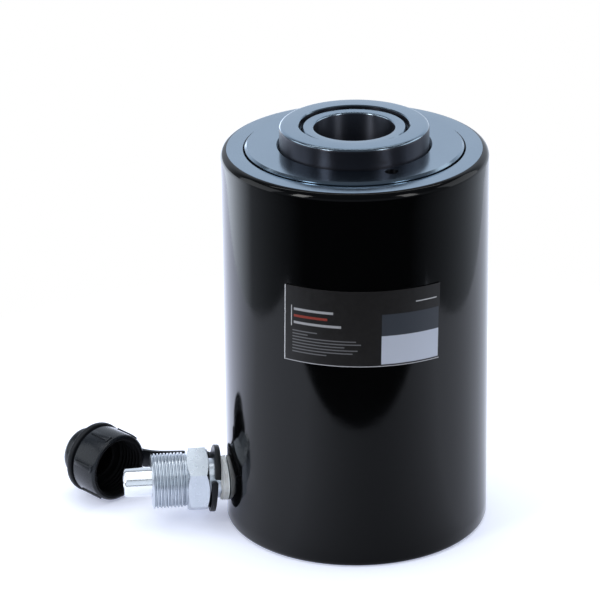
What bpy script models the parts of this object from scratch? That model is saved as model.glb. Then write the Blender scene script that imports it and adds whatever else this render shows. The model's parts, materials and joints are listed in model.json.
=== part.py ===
"""Hollow-plunger hydraulic cylinder, 30 t class, 50 mm stroke, spring return.

The body stands on its flat base with its axis along +Z, and the coupler points along -X.
Lengths are in metres. A fit is worked out from the sizes that meet and a clearance.
"""

from math import atan2, cos, hypot, pi, radians, sin, sqrt

import bmesh
import bpy
from mathutils import Euler, Matrix, Vector

# Clearances
TOUCH = 0.0003  # between pieces that rest on or thread into each other
WELD = 0.000001  # points closer than this are one point

# Sizes across, from the outside inwards; what is left is the centre hole
BODY_RADIUS = 0.057
BODY_WALL = 0.013
PLUNGER_SHARE = 0.72159  # of the bore's radius; the spring stands in the rest
PLUNGER_WALL = 0.01095
TUBE_WALL = 0.0034

# Sizes along the stroke; what the spring leaves between piston and gland is the stroke
CLOSED_HEIGHT = 0.180
BASE_THICKNESS = 0.016
PISTON_STANDOFF = 0.002
SPRING_RESERVE = 0.0016  # left between the spring's turns at the end of the stroke

# Body: a one-piece forging, closed at the base but for the centre hole
BODY_TOP_FILLET = 0.0027
BODY_BOTTOM_CHAMFER = 0.0015
HOLE_CHAMFER = 0.001

# Gland nut, which closes the body and guides the plunger
GLAND_STEP = 0.0015  # its collar is this much wider than the bore
GLAND_THREAD_STEP = 0.0026
GLAND_PROUD = 0.0015
GLAND_CHAMFER = 0.0008
GLAND_COLLAR = 0.0045
SPANNER_HOLE_RADIUS = 0.0028
SPANNER_HOLE_OFFSET = 0.00525
SPANNER_HOLE_DEPTH = 0.0042
SPANNER_HOLE_ANGLE = radians(-72)
WIPER_BELOW_TOP = 0.0052
WIPER_WIDTH = 0.0052
WIPER_DEPTH = 0.0032
WIPER_ABOVE_BEARING = 0.0012
BEARING_WIDTH = 0.011
BEARING_DEPTH = 0.0022
BEARING_ABOVE_SEAT = 0.004

# Centre tube, which keeps the oil out of the centre hole
TUBE_BELOW_SADDLE = 0.0054
TUBE_LIP = 0.004
TUBE_CHAMFER = 0.0006
TUBE_SEAL_ABOVE_LIP = 0.0042
TUBE_O_RING_WIDTH = 0.0022
TUBE_BACKUP_WIDTH = 0.0013

# Plunger and its piston head
PLUNGER_PROUD = 0.0089
PLUNGER_EDGE = 0.001
PISTON_CHAMFER = 0.004
PISTON_TOP_LAND = 0.0025
PISTON_SEAL_ABOVE_BOTTOM = 0.0062
PISTON_SEAL_WIDTH = 0.0052
PISTON_SEAL_DEPTH = 0.005
PISTON_BACKUP_WIDTH = 0.0016
WEAR_RING_WIDTH = 0.0038
WEAR_RING_DEPTH = 0.0018
INNER_SEAL_ABOVE_BOTTOM = 0.004
INNER_SEAL_WIDTH = 0.0048
INNER_SEAL_DEPTH = 0.0042
INNER_WEAR_WIDTH = 0.0042
INNER_WEAR_DEPTH = 0.0016
GROOVE_LAND = 0.0022

# Hollow saddle, screwed into the top of the plunger
SADDLE_WALL = 0.0049
SADDLE_GAP = 0.0014
SADDLE_BELOW_TOP = 0.0011
SADDLE_RECESS = 0.0036
SADDLE_THREAD_STEP = 0.0006
SADDLE_LENGTH = 0.0185
SADDLE_CHAMFER = 0.0008

# Return spring, between the piston head and the gland nut
SPRING_WIRE_RADIUS = 0.0036
SPRING_TURNS = 6
SPRING_SIDES = 7

# Port and coupler, along -X
PORT_ABOVE_BASE = 0.00255
PORT_FLOOR_WALL = 0.002
PORT_PASSAGE_RADIUS = 0.0024
PIPE_RADIUS = 0.0087
PIPE_TAPER = 0.0004
COUPLER_BORE_RADIUS = 0.003
NECK_LENGTH = 0.0082
HEX_LENGTH = 0.0096
HEX_ACROSS_FLATS = 0.026
HEX_CHAMFER = 0.0011
THREAD_RADIUS = 0.012
THREAD_PITCH = 0.0015
THREAD_DEPTH = 0.0009
THREAD_LENGTH = 0.0151
THREAD_UNDERCUT = 0.0012

# Probe of the coupler, with its ball check
PROBE_RADIUS = 0.00635
PROBE_PROUD = 0.0122
PROBE_CHAMFER = 0.0008
PROBE_COLLAR = 0.006
PROBE_INSERTED = 0.018
PROBE_THREAD_RADIUS = 0.0059
PROBE_SEAL_WIDTH = 0.0019
PROBE_SEAL_BELOW_FACE = 0.0018
PROBE_TIP_BORE = 0.003
PROBE_TIP_LENGTH = 0.0016
PROBE_SEAT_LENGTH = 0.002
PROBE_CAVITY_RADIUS = 0.0044
PROBE_FLOOR = 0.004
BALL_RADIUS = 0.0036
CHECK_SPRING_WIRE_RADIUS = 0.00045
CHECK_SPRING_RADIUS = 0.0026
CHECK_SPRING_TURNS = 5

# Sealing tape, wound on the pipe thread where it enters the body
TAPE_THICKNESS = 0.00095
TAPE_TUCK = 0.0023
TAPE_GAP = 0.00055
TAPE_EDGE = 0.00035

# Strap: a split ring on the coupler's neck, a flat band, and a ring on the cap's neck
NECK_RING_WIDTH = 0.00555
NECK_RING_THICKNESS = 0.0024
NECK_RING_PLAY = 0.0004
NECK_RING_GAP = 0.00035
NECK_RING_TWIST = 0.0011
NECK_RING_SPLIT = radians(289)
NECK_RING_OPENING = radians(11)
BAND_WIDTH = 0.0083
BAND_THICKNESS = 0.0018
BAND_BEND = 0.0032
BAND_START_TURN = radians(72)
BAND_DROP = 0.0042  # it meets the cap's ring this far below the ring's middle
CAP_RING_STEP = 0.0007
CAP_RING_THICKNESS = 0.0025

# Dust cap, lying on the ground behind the probe; its knob is hollow and takes the probe
CAP_OFF_BODY = 0.05572
CAP_ASIDE = 0.034
CAP_AZIMUTH = radians(-52)
CAP_TILT = radians(-1)
CAP_RADIUS = 0.0152
CAP_LENGTH = 0.0142
CAP_WALL = 0.0027
CAP_FLOOR = 0.0018
CAP_EDGE = 0.0014
CAP_NECK_RADIUS = 0.0089
CAP_NECK_WALL = 0.0014
CAP_KNOB_RADIUS = 0.0114
CAP_KNOB_LENGTH = 0.00835
CAP_KNOB_ROUNDING = 0.0032
CAP_KNOB_FLOOR = 0.002
CAP_RIBS = 6
CAP_RIB_START = radians(16)
CAP_RIB_WIDTH = 0.0022
CAP_RIB_HEIGHT = 0.0007
CAP_RIB_INSET = 0.002

# Label place on the front of the body, left bare
LABEL_THICKNESS = 0.0002
LABEL_ANGLE = radians(-93.2)
LABEL_WIDTH = 0.0685
LABEL_BELOW_TOP = 0.0426
LABEL_HEIGHT = 0.0339

# Fineness of round pieces
BODY_STEPS = 48
TUBE_STEPS = 36
RING_STEPS = 30
SMALL_STEPS = 24
CAP_STEPS = 36
LABEL_STEPS = 12


# Points of a turned outline, each as (radius, height)


def arc(centre_radius, centre_height, radius, start, end, steps):
    """Points along an arc, with its angles in degrees from the radial direction."""
    points = []
    for step in range(steps + 1):
        angle = radians(start + (end - start) * step / steps)
        points.append((centre_radius + radius * cos(angle), centre_height + radius * sin(angle)))
    return points


def groove(wall, floor, low, high):
    """A square groove from a wall to its floor, from the low side to the high side."""
    return [(wall, low), (floor, low), (floor, high), (wall, high)]


def square_ring(inner, outer, low, high):
    return [(inner, low), (outer, low), (outer, high), (inner, high)]


def ring_outline(inner, outer, low, high, edge):
    """A ring's section with its four corners cut."""
    return [
        (inner + edge, low),
        (outer - edge, low),
        (outer, low + edge),
        (outer, high - edge),
        (outer - edge, high),
        (inner + edge, high),
        (inner, high - edge),
        (inner, low + edge),
    ]


# Making and placing objects


def remove_everything():
    for old in list(bpy.data.objects):
        bpy.data.objects.remove(old, do_unlink=True)


def make_material(name, colour, roughness, metallic=0.0):
    made = bpy.data.materials.new(name)
    made.use_nodes = True
    made.diffuse_color = (*colour, 1.0)
    shader = made.node_tree.nodes["Principled BSDF"]
    shader.inputs["Base Color"].default_value = (*colour, 1.0)
    shader.inputs["Roughness"].default_value = roughness
    shader.inputs["Metallic"].default_value = metallic
    return made


def add_frame(name, location, rotation=(0, 0, 0), parent=None):
    """An empty that carries the pieces of one moving or fixed body."""
    frame = bpy.data.objects.new(name, None)
    frame.location = location
    frame.rotation_euler = rotation
    frame.parent = parent
    bpy.context.collection.objects.link(frame)
    return frame


def add_object(name, shape, material, parent):
    """Closes a bmesh and links it as one object under its frame."""
    bmesh.ops.remove_doubles(shape, verts=shape.verts, dist=WELD)
    bmesh.ops.recalc_face_normals(shape, faces=shape.faces)
    mesh = bpy.data.meshes.new(name)
    shape.to_mesh(mesh)
    shape.free()
    mesh.shade_smooth()
    mesh.set_sharp_from_angle(angle=radians(32))
    if material:
        mesh.materials.append(material)
    made = bpy.data.objects.new(name, mesh)
    made.parent = parent
    bpy.context.collection.objects.link(made)
    return made


def turned_shape(outline, steps):
    """Spins an outline of (radius, height) points round Z; ends on the axis stay open."""
    shape = bmesh.new()
    points = [shape.verts.new((radius, 0, height)) for radius, height in outline]
    for first, second in zip(points, points[1:]):
        shape.edges.new((first, second))
    if outline[0][0] > 0 or outline[-1][0] > 0:
        shape.edges.new((points[-1], points[0]))
    bmesh.ops.spin(
        shape,
        geom=shape.verts[:] + shape.edges[:],
        cent=(0, 0, 0),
        axis=(0, 0, 1),
        angle=2 * pi,
        steps=steps,
        use_merge=True,
    )
    return shape


def turned(name, outline, steps, material, parent):
    return add_object(name, turned_shape(outline, steps), material, parent)


def swept_shape(sections):
    """Joins closed sections of equal length into one tube and fills its two ends."""
    shape = bmesh.new()
    rows = [[shape.verts.new(point) for point in section] for section in sections]
    count = len(rows[0])
    for row, following in zip(rows, rows[1:]):
        for i in range(count):
            j = (i + 1) % count
            shape.faces.new((row[i], row[j], following[j], following[i]))
    shape.faces.new(rows[0])
    shape.faces.new(rows[-1])
    return shape


def add_cutter(name, shape, parent):
    cutter = add_object(name, shape, None, parent)
    cutter.hide_render = True
    cutter.display_type = "WIRE"
    return cutter


def combine(target, tool, operation):
    boolean = target.modifiers.new(tool.name, "BOOLEAN")
    boolean.operation = operation
    boolean.solver = "EXACT"
    boolean.object = tool


def cylinder_shape(radius, low, high, steps, centre=(0, 0)):
    shape = bmesh.new()
    middle = Matrix.Translation((centre[0], centre[1], (low + high) / 2))
    bmesh.ops.create_cone(
        shape,
        cap_ends=True,
        segments=steps,
        radius1=radius,
        radius2=radius,
        depth=high - low,
        matrix=middle,
    )
    return shape


def coil_shape(radius, wire, low, high, turns, steps, sides):
    """A helical spring whose first and last turns lie close against their neighbours."""
    closed_pitch = 2 * wire + TOUCH
    start = low + wire
    open_length = high - low - 2 * wire - 2 * closed_pitch
    open_pitch = open_length / (turns - 2)
    sections = []
    for step in range(turns * steps + 1):
        turn = step / steps
        rise = closed_pitch * min(turn, 1)
        rise += open_pitch * max(0, min(turn, turns - 1) - 1)
        rise += closed_pitch * max(0, turn - turns + 1)
        around = Vector((cos(2 * pi * turn), sin(2 * pi * turn), 0))
        centre = around * radius + Vector((0, 0, start + rise))
        section = []
        for side in range(sides):
            angle = 2 * pi * side / sides
            section.append(centre + around * (wire * cos(angle)) + Vector((0, 0, wire * sin(angle))))
        sections.append(section)
    return swept_shape(sections)


# Sizes that follow from the driving ones: across, from the outside inwards

bore_radius = BODY_RADIUS - BODY_WALL
piston_radius = bore_radius - TOUCH
gland_radius = bore_radius + GLAND_STEP
gland_thread_radius = bore_radius + GLAND_THREAD_STEP
plunger_radius = bore_radius * PLUNGER_SHARE
gland_bore = plunger_radius + TOUCH
tube_seat = plunger_radius - PLUNGER_WALL
tube_radius = tube_seat - TOUCH
hole_radius = tube_radius - TUBE_WALL
saddle_radius = hole_radius + SADDLE_WALL
saddle_thread_radius = saddle_radius + SADDLE_THREAD_STEP
spanner_hole_circle = plunger_radius + SPANNER_HOLE_OFFSET

# Up the base and the piston head, groove by groove
tube_bottom = TUBE_LIP + TOUCH
base_seal_low = TUBE_LIP + TUBE_SEAL_ABOVE_LIP
base_seal_high = base_seal_low + TUBE_O_RING_WIDTH + TUBE_BACKUP_WIDTH + 3 * TOUCH
base_seal_floor = tube_seat + TUBE_O_RING_WIDTH + TOUCH
piston_bottom = BASE_THICKNESS + PISTON_STANDOFF
piston_seal_low = piston_bottom + PISTON_SEAL_ABOVE_BOTTOM
piston_seal_high = piston_seal_low + PISTON_SEAL_WIDTH + PISTON_BACKUP_WIDTH + 3 * TOUCH
wear_low = piston_seal_high + GROOVE_LAND
wear_high = wear_low + WEAR_RING_WIDTH + 2 * TOUCH
piston_top = wear_high + PISTON_TOP_LAND
inner_seal_low = piston_bottom + INNER_SEAL_ABOVE_BOTTOM
inner_seal_high = inner_seal_low + INNER_SEAL_WIDTH + 2 * TOUCH
inner_wear_low = inner_seal_high + GROOVE_LAND
inner_wear_high = inner_wear_low + INNER_WEAR_WIDTH + 2 * TOUCH

# Down from the top of the plunger to the gland nut's seat
saddle_top = CLOSED_HEIGHT - SADDLE_BELOW_TOP
saddle_bottom = saddle_top - SADDLE_LENGTH
tube_top = saddle_bottom - TUBE_BELOW_SADDLE
gland_top = CLOSED_HEIGHT - PLUNGER_PROUD
body_height = gland_top - GLAND_PROUD
label_top = body_height - LABEL_BELOW_TOP
wiper_high = gland_top - WIPER_BELOW_TOP
wiper_low = wiper_high - WIPER_WIDTH - 2 * TOUCH
bearing_high = wiper_low - WIPER_ABOVE_BEARING
bearing_low = bearing_high - BEARING_WIDTH - 2 * TOUCH
gland_bottom = bearing_low - BEARING_ABOVE_SEAT
gland_seat = gland_bottom - TOUCH

# The stroke ends where the spring's turns all but meet
spring_closed = 2 * SPRING_WIRE_RADIUS * (SPRING_TURNS + 1) + SPRING_RESERVE
stroke = gland_seat - piston_top - spring_closed

# Along the coupler, from the body's axis
port_height = BASE_THICKNESS + PORT_ABOVE_BASE
port_radius = PIPE_RADIUS + TOUCH
port_floor = bore_radius + PORT_FLOOR_WALL
hex_start = BODY_RADIUS + NECK_LENGTH
thread_start = hex_start + HEX_LENGTH
coupler_face = thread_start + THREAD_LENGTH
probe_tip = coupler_face + PROBE_PROUD
probe_start = coupler_face - PROBE_INSERTED
probe_shoulder = coupler_face - PROBE_COLLAR
probe_seal_high = coupler_face - PROBE_SEAL_BELOW_FACE
probe_seal_low = probe_seal_high - PROBE_SEAL_WIDTH - 2 * TOUCH
neck_ring_inner = PIPE_RADIUS + NECK_RING_PLAY
neck_ring_radius = neck_ring_inner + NECK_RING_WIDTH
neck_ring_half = (NECK_RING_THICKNESS + NECK_RING_TWIST) / 2
neck_ring_position = hex_start - NECK_RING_GAP - neck_ring_half
tape_end = neck_ring_position - neck_ring_half - TAPE_GAP
tape_radius = port_radius + TAPE_THICKNESS
cap_neck_half = CAP_RING_THICKNESS / 2 + TOUCH
cap_mouth = cap_neck_half + CAP_LENGTH
cap_ring_radius = CAP_RADIUS + CAP_RING_STEP

# The cap ring stands on the ground, so its radius and tilt give its height
cap_direction = Vector(
    (cos(CAP_TILT) * cos(CAP_AZIMUTH), cos(CAP_TILT) * sin(CAP_AZIMUTH), sin(CAP_TILT))
)
cap_side = Vector((-sin(CAP_AZIMUTH), cos(CAP_AZIMUTH), 0))
cap_height = cap_ring_radius * cos(CAP_TILT) + CAP_RING_THICKNESS / 2 * abs(sin(CAP_TILT))
cap_place = Vector((-BODY_RADIUS - CAP_OFF_BODY, CAP_ASIDE, cap_height))

# The origin is the middle of the whole outline, so the body stands a little to +X of it
ring_reach = cap_ring_radius * abs(cap_side.x) + CAP_RING_THICKNESS / 2 * abs(cap_direction.x)
knob_reach = (CAP_KNOB_RADIUS - CAP_KNOB_ROUNDING) * abs(cap_side.x) + CAP_KNOB_ROUNDING
knob_reach += (cap_neck_half + CAP_KNOB_LENGTH - CAP_KNOB_ROUNDING) * abs(cap_direction.x)
body_x = -(BODY_RADIUS + cap_place.x - max(ring_reach, knob_reach)) / 2


# Body


def body_outline():
    mouth = gland_thread_radius + TOUCH
    fillet = BODY_TOP_FILLET
    points = [(hole_radius + HOLE_CHAMFER, 0), (BODY_RADIUS - BODY_BOTTOM_CHAMFER, 0)]
    points.append((BODY_RADIUS, BODY_BOTTOM_CHAMFER))
    points += arc(BODY_RADIUS - fillet, body_height - fillet, fillet, 0, 90, 4)
    points += [(mouth, body_height), (mouth, gland_seat), (bore_radius, gland_seat)]
    points += [(bore_radius, BASE_THICKNESS), (tube_seat, BASE_THICKNESS)]
    points += reversed(groove(tube_seat, base_seal_floor, base_seal_low, base_seal_high))
    points += [(tube_seat, TUBE_LIP), (hole_radius, TUBE_LIP), (hole_radius, HOLE_CHAMFER)]
    return points


def make_body(parent, coupler, paint):
    body = turned("cylinder_body", body_outline(), BODY_STEPS, paint, parent)
    port = cylinder_shape(port_radius, port_floor, BODY_RADIUS + PIPE_RADIUS, SMALL_STEPS)
    passage_end = bore_radius - PORT_PASSAGE_RADIUS
    passage = cylinder_shape(PORT_PASSAGE_RADIUS, passage_end, BODY_RADIUS, 12)
    combine(body, add_cutter("port_cutter", port, coupler), "DIFFERENCE")
    combine(body, add_cutter("passage_cutter", passage, coupler), "DIFFERENCE")


def make_label(parent, vinyl):
    """A thin blank plate that follows the body's curve."""
    inner = BODY_RADIUS + TOUCH
    outer = inner + LABEL_THICKNESS
    half = LABEL_WIDTH / BODY_RADIUS / 2
    bottom = label_top - LABEL_HEIGHT
    sections = []
    for step in range(LABEL_STEPS + 1):
        angle = LABEL_ANGLE - half + 2 * half * step / LABEL_STEPS
        corners = [(inner, bottom), (outer, bottom), (outer, label_top), (inner, label_top)]
        sections.append([(r * cos(angle), r * sin(angle), z) for r, z in corners])
    add_object("label_plate", swept_shape(sections), vinyl, parent)


# Gland nut and what it holds


def gland_outline():
    points = [(gland_bore, gland_bottom), (gland_thread_radius, gland_bottom)]
    points.append((gland_thread_radius, gland_top - GLAND_COLLAR))
    points.append((gland_radius, gland_top - GLAND_COLLAR))
    points.append((gland_radius, gland_top - GLAND_CHAMFER))
    points.append((gland_radius - GLAND_CHAMFER, gland_top))
    points.append((gland_bore + GLAND_CHAMFER, gland_top))
    points.append((gland_bore, gland_top - GLAND_CHAMFER))
    points += reversed(groove(gland_bore, gland_bore + WIPER_DEPTH, wiper_low, wiper_high))
    points += reversed(groove(gland_bore, gland_bore + BEARING_DEPTH, bearing_low, bearing_high))
    return points


def make_gland(parent, steel, wiper_rubber, bearing_bronze):
    gland = turned("gland_nut", gland_outline(), BODY_STEPS, steel, parent)
    for side, name in ((0, "spanner_cutter_front"), (pi, "spanner_cutter_rear")):
        angle = SPANNER_HOLE_ANGLE + side
        centre = (spanner_hole_circle * cos(angle), spanner_hole_circle * sin(angle))
        low = gland_top - SPANNER_HOLE_DEPTH
        high = gland_top + SPANNER_HOLE_DEPTH
        hole = cylinder_shape(SPANNER_HOLE_RADIUS, low, high, 14, centre)
        combine(gland, add_cutter(name, hole, parent), "DIFFERENCE")
    wiper_outer = gland_bore + WIPER_DEPTH - TOUCH
    wiper = square_ring(gland_bore, wiper_outer, wiper_low + TOUCH, wiper_high - TOUCH)
    turned("rod_wiper", wiper, RING_STEPS, wiper_rubber, parent)
    bearing_outer = gland_bore + BEARING_DEPTH - TOUCH
    bearing = square_ring(gland_bore, bearing_outer, bearing_low + TOUCH, bearing_high - TOUCH)
    turned("rod_bearing", bearing, RING_STEPS, bearing_bronze, parent)


# Centre tube and its seal in the base


def make_tube(parent, steel, rubber, nylon):
    tube = ring_outline(hole_radius, tube_radius, tube_bottom, tube_top, TUBE_CHAMFER)
    turned("centre_tube", tube, TUBE_STEPS, steel, parent)
    section = TUBE_O_RING_WIDTH / 2
    height = base_seal_low + TOUCH + section
    o_ring = arc(tube_seat + section, height, section, 0, 300, 5)
    turned("tube_o_ring", o_ring, RING_STEPS, rubber, parent)
    backup_high = base_seal_high - TOUCH
    backup_low = backup_high - TUBE_BACKUP_WIDTH
    backup = square_ring(tube_seat, base_seal_floor - TOUCH, backup_low, backup_high)
    turned("tube_backup_ring", backup, RING_STEPS, nylon, parent)


# Plunger, its seals and its saddle


def plunger_outline():
    seal_floor = piston_radius - PISTON_SEAL_DEPTH
    wear_floor = piston_radius - WEAR_RING_DEPTH
    edge_height = CLOSED_HEIGHT - PLUNGER_EDGE
    recess = saddle_radius + SADDLE_GAP
    recess_floor = CLOSED_HEIGHT - SADDLE_RECESS
    thread = saddle_thread_radius + TOUCH
    seat = saddle_bottom - TOUCH
    points = [(tube_seat, piston_bottom), (piston_radius - PISTON_CHAMFER, piston_bottom)]
    points.append((piston_radius, piston_bottom + PISTON_CHAMFER))
    points += groove(piston_radius, seal_floor, piston_seal_low, piston_seal_high)
    points += groove(piston_radius, wear_floor, wear_low, wear_high)
    points += [(piston_radius, piston_top), (plunger_radius, piston_top)]
    points += arc(plunger_radius - PLUNGER_EDGE, edge_height, PLUNGER_EDGE, 0, 90, 2)
    points += [(recess, CLOSED_HEIGHT), (recess, recess_floor), (thread, recess_floor)]
    points += [(thread, seat), (tube_seat, seat)]
    wear_bottom = tube_seat + INNER_WEAR_DEPTH
    seal_bottom = tube_seat + INNER_SEAL_DEPTH
    points += reversed(groove(tube_seat, wear_bottom, inner_wear_low, inner_wear_high))
    points += reversed(groove(tube_seat, seal_bottom, inner_seal_low, inner_seal_high))
    return points


def make_plunger(parent, steel):
    turned("plunger", plunger_outline(), BODY_STEPS, steel, parent)


def make_piston_seals(parent, polyurethane, nylon, bronze):
    inner = piston_radius - PISTON_SEAL_DEPTH + TOUCH
    low = piston_seal_low + TOUCH
    seal = square_ring(inner, piston_radius, low, low + PISTON_SEAL_WIDTH)
    turned("piston_seal", seal, RING_STEPS, polyurethane, parent)
    high = piston_seal_high - TOUCH
    backup = square_ring(inner, piston_radius, high - PISTON_BACKUP_WIDTH, high)
    turned("piston_backup_ring", backup, RING_STEPS, nylon, parent)
    wear_inner = piston_radius - WEAR_RING_DEPTH + TOUCH
    wear = square_ring(wear_inner, piston_radius, wear_low + TOUCH, wear_high - TOUCH)
    turned("piston_wear_ring", wear, RING_STEPS, bronze, parent)
    seal_outer = tube_seat + INNER_SEAL_DEPTH - TOUCH
    seal_high = inner_seal_high - TOUCH
    tube_seal = square_ring(tube_seat, seal_outer, inner_seal_low + TOUCH, seal_high)
    turned("tube_seal", tube_seal, RING_STEPS, polyurethane, parent)
    wear_outer = tube_seat + INNER_WEAR_DEPTH - TOUCH
    wear_high_end = inner_wear_high - TOUCH
    tube_wear = square_ring(tube_seat, wear_outer, inner_wear_low + TOUCH, wear_high_end)
    turned("tube_wear_ring", tube_wear, RING_STEPS, bronze, parent)


def make_saddle(parent, steel):
    shoulder = CLOSED_HEIGHT - SADDLE_RECESS + TOUCH
    chamfer = SADDLE_CHAMFER
    outline = [
        (hole_radius, saddle_bottom),
        (saddle_thread_radius, saddle_bottom),
        (saddle_thread_radius, shoulder - 2 * TOUCH),
        (saddle_radius, shoulder),
        (saddle_radius, saddle_top - chamfer / 2),
        (saddle_radius - chamfer / 2, saddle_top),
        (hole_radius + chamfer, saddle_top),
        (hole_radius, saddle_top - chamfer),
    ]
    turned("saddle", outline, BODY_STEPS, steel, parent)


def make_return_spring(parent, spring_steel):
    radius = (plunger_radius + bore_radius) / 2
    low = piston_top + TOUCH
    high = gland_bottom - TOUCH
    coil = coil_shape(radius, SPRING_WIRE_RADIUS, low, high, SPRING_TURNS, 14, SPRING_SIDES)
    add_object("return_spring", coil, spring_steel, parent)


# Coupler, turned along the local Z axis, which points along -X in the part


def coupler_outline():
    corner = HEX_ACROSS_FLATS / 2 / cos(pi / 6)
    chamfer_length = HEX_CHAMFER * sin(pi / 6)
    root = THREAD_RADIUS - THREAD_DEPTH
    points = [(COUPLER_BORE_RADIUS, port_floor + TOUCH)]
    points.append((PIPE_RADIUS - PIPE_TAPER, port_floor + TOUCH))
    points += [(PIPE_RADIUS, BODY_RADIUS), (PIPE_RADIUS, hex_start)]
    points.append((corner - HEX_CHAMFER, hex_start))
    points.append((corner, hex_start + chamfer_length))
    points.append((corner, thread_start - chamfer_length))
    points.append((corner - HEX_CHAMFER, thread_start))
    points += [(root, thread_start), (root, thread_start + THREAD_UNDERCUT)]
    turns = int((THREAD_LENGTH - THREAD_UNDERCUT) / THREAD_PITCH)
    for turn in range(turns):
        middle = thread_start + THREAD_UNDERCUT + THREAD_PITCH * (turn + 0.5)
        points += [(THREAD_RADIUS, middle), (root, middle + THREAD_PITCH / 2)]
    points.append((root, coupler_face))
    bore = PROBE_RADIUS + TOUCH
    seal_floor = bore + PROBE_SEAL_WIDTH + TOUCH
    step = probe_shoulder - TOUCH
    points.append((bore, coupler_face))
    points += reversed(groove(bore, seal_floor, probe_seal_low, probe_seal_high))
    points += [(bore, step), (PROBE_THREAD_RADIUS + TOUCH, step)]
    points.append((PROBE_THREAD_RADIUS + TOUCH, probe_start - TOUCH))
    points.append((COUPLER_BORE_RADIUS, probe_start - TOUCH))
    return points


def make_coupler(parent, zinc):
    """The hexagon is milled from the turned collar, a corner pointing up."""
    shape = turned_shape(coupler_outline(), SMALL_STEPS)
    flat = HEX_ACROSS_FLATS / 2
    for point in shape.verts:
        radius = hypot(point.co.x, point.co.y)
        if hex_start <= point.co.z + WELD and point.co.z - WELD <= thread_start and radius > flat:
            angle = atan2(point.co.y, point.co.x) % (pi / 3)
            reach = flat / cos(angle - pi / 6)
            if radius > reach:
                point.co.xy *= reach / radius
    add_object("coupler_body", shape, zinc, parent)


def probe_outline():
    seat_start = probe_tip - PROBE_TIP_LENGTH - PROBE_SEAT_LENGTH
    cavity_floor = probe_start + PROBE_FLOOR
    return [
        (COUPLER_BORE_RADIUS, probe_start),
        (PROBE_THREAD_RADIUS, probe_start),
        (PROBE_THREAD_RADIUS, probe_shoulder),
        (PROBE_RADIUS, probe_shoulder),
        (PROBE_RADIUS, probe_tip - PROBE_CHAMFER),
        (PROBE_RADIUS - PROBE_CHAMFER, probe_tip),
        (PROBE_TIP_BORE, probe_tip),
        (PROBE_TIP_BORE, probe_tip - PROBE_TIP_LENGTH),
        (PROBE_CAVITY_RADIUS, seat_start),
        (PROBE_CAVITY_RADIUS, cavity_floor),
        (COUPLER_BORE_RADIUS, cavity_floor),
    ]


def make_probe(parent, chrome, rubber):
    turned("coupler_probe", probe_outline(), SMALL_STEPS, chrome, parent)
    section = PROBE_SEAL_WIDTH / 2
    middle = (probe_seal_low + probe_seal_high) / 2
    seal = arc(PROBE_RADIUS + TOUCH + section, middle, section, 0, 300, 5)
    turned("probe_seal", seal, SMALL_STEPS, rubber, parent)


def make_check(parent, ball_frame, ball_place, ball_steel, spring_steel):
    """A ball held against the probe's seat by a light spring."""
    ball = bmesh.new()
    bmesh.ops.create_icosphere(ball, subdivisions=2, radius=BALL_RADIUS)
    add_object("check_ball", ball, ball_steel, ball_frame)
    reach = BALL_RADIUS + CHECK_SPRING_WIRE_RADIUS + TOUCH
    contact = ball_place - sqrt(reach * reach - CHECK_SPRING_RADIUS * CHECK_SPRING_RADIUS)
    low = probe_start + PROBE_FLOOR + TOUCH
    high = contact + CHECK_SPRING_WIRE_RADIUS
    coil = coil_shape(
        CHECK_SPRING_RADIUS + TOUCH,
        CHECK_SPRING_WIRE_RADIUS,
        low,
        high,
        CHECK_SPRING_TURNS,
        9,
        5,
    )
    add_object("check_spring", coil, spring_steel, parent)


def make_tape(parent, body_frame, tape_material):
    """The tape's inner edge follows the curve of the body."""
    outline = ring_outline(port_radius, tape_radius, BODY_RADIUS - TAPE_TUCK, tape_end, TAPE_EDGE)
    tape = turned("thread_tape", outline, SMALL_STEPS, tape_material, parent)
    body_side = cylinder_shape(
        BODY_RADIUS + TOUCH, -BODY_BOTTOM_CHAMFER, body_height / 2, BODY_STEPS
    )
    combine(tape, add_cutter("tape_cutter", body_side, body_frame), "DIFFERENCE")


# Strap


def neck_ring_shape():
    """The split ring: its two ends stand a little apart along the coupler."""
    inner = neck_ring_inner
    start = NECK_RING_SPLIT + NECK_RING_OPENING / 2
    sweep = 2 * pi - NECK_RING_OPENING
    half = NECK_RING_THICKNESS / 2
    sections = []
    for step in range(SMALL_STEPS + 1):
        share = step / SMALL_STEPS
        angle = start + sweep * share
        shift = NECK_RING_TWIST * (share - 0.5)
        corners = [(inner, -half), (neck_ring_radius, -half), (neck_ring_radius, half), (inner, half)]
        sections.append([(r * cos(angle), r * sin(angle), z + shift) for r, z in corners])
    shape = swept_shape(sections)
    shape.transform(Euler((0, -pi / 2, 0)).to_matrix().to_4x4())
    return shape


def bend_points(centre, start, turn, radius, steps):
    """Points of a bend in the ground plane, to the left where the turn is positive."""
    points = []
    for step in range(1, steps + 1):
        angle = start + turn * step / steps
        points.append(centre + Vector((radius * cos(angle), radius * sin(angle), 0)))
    return points


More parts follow.
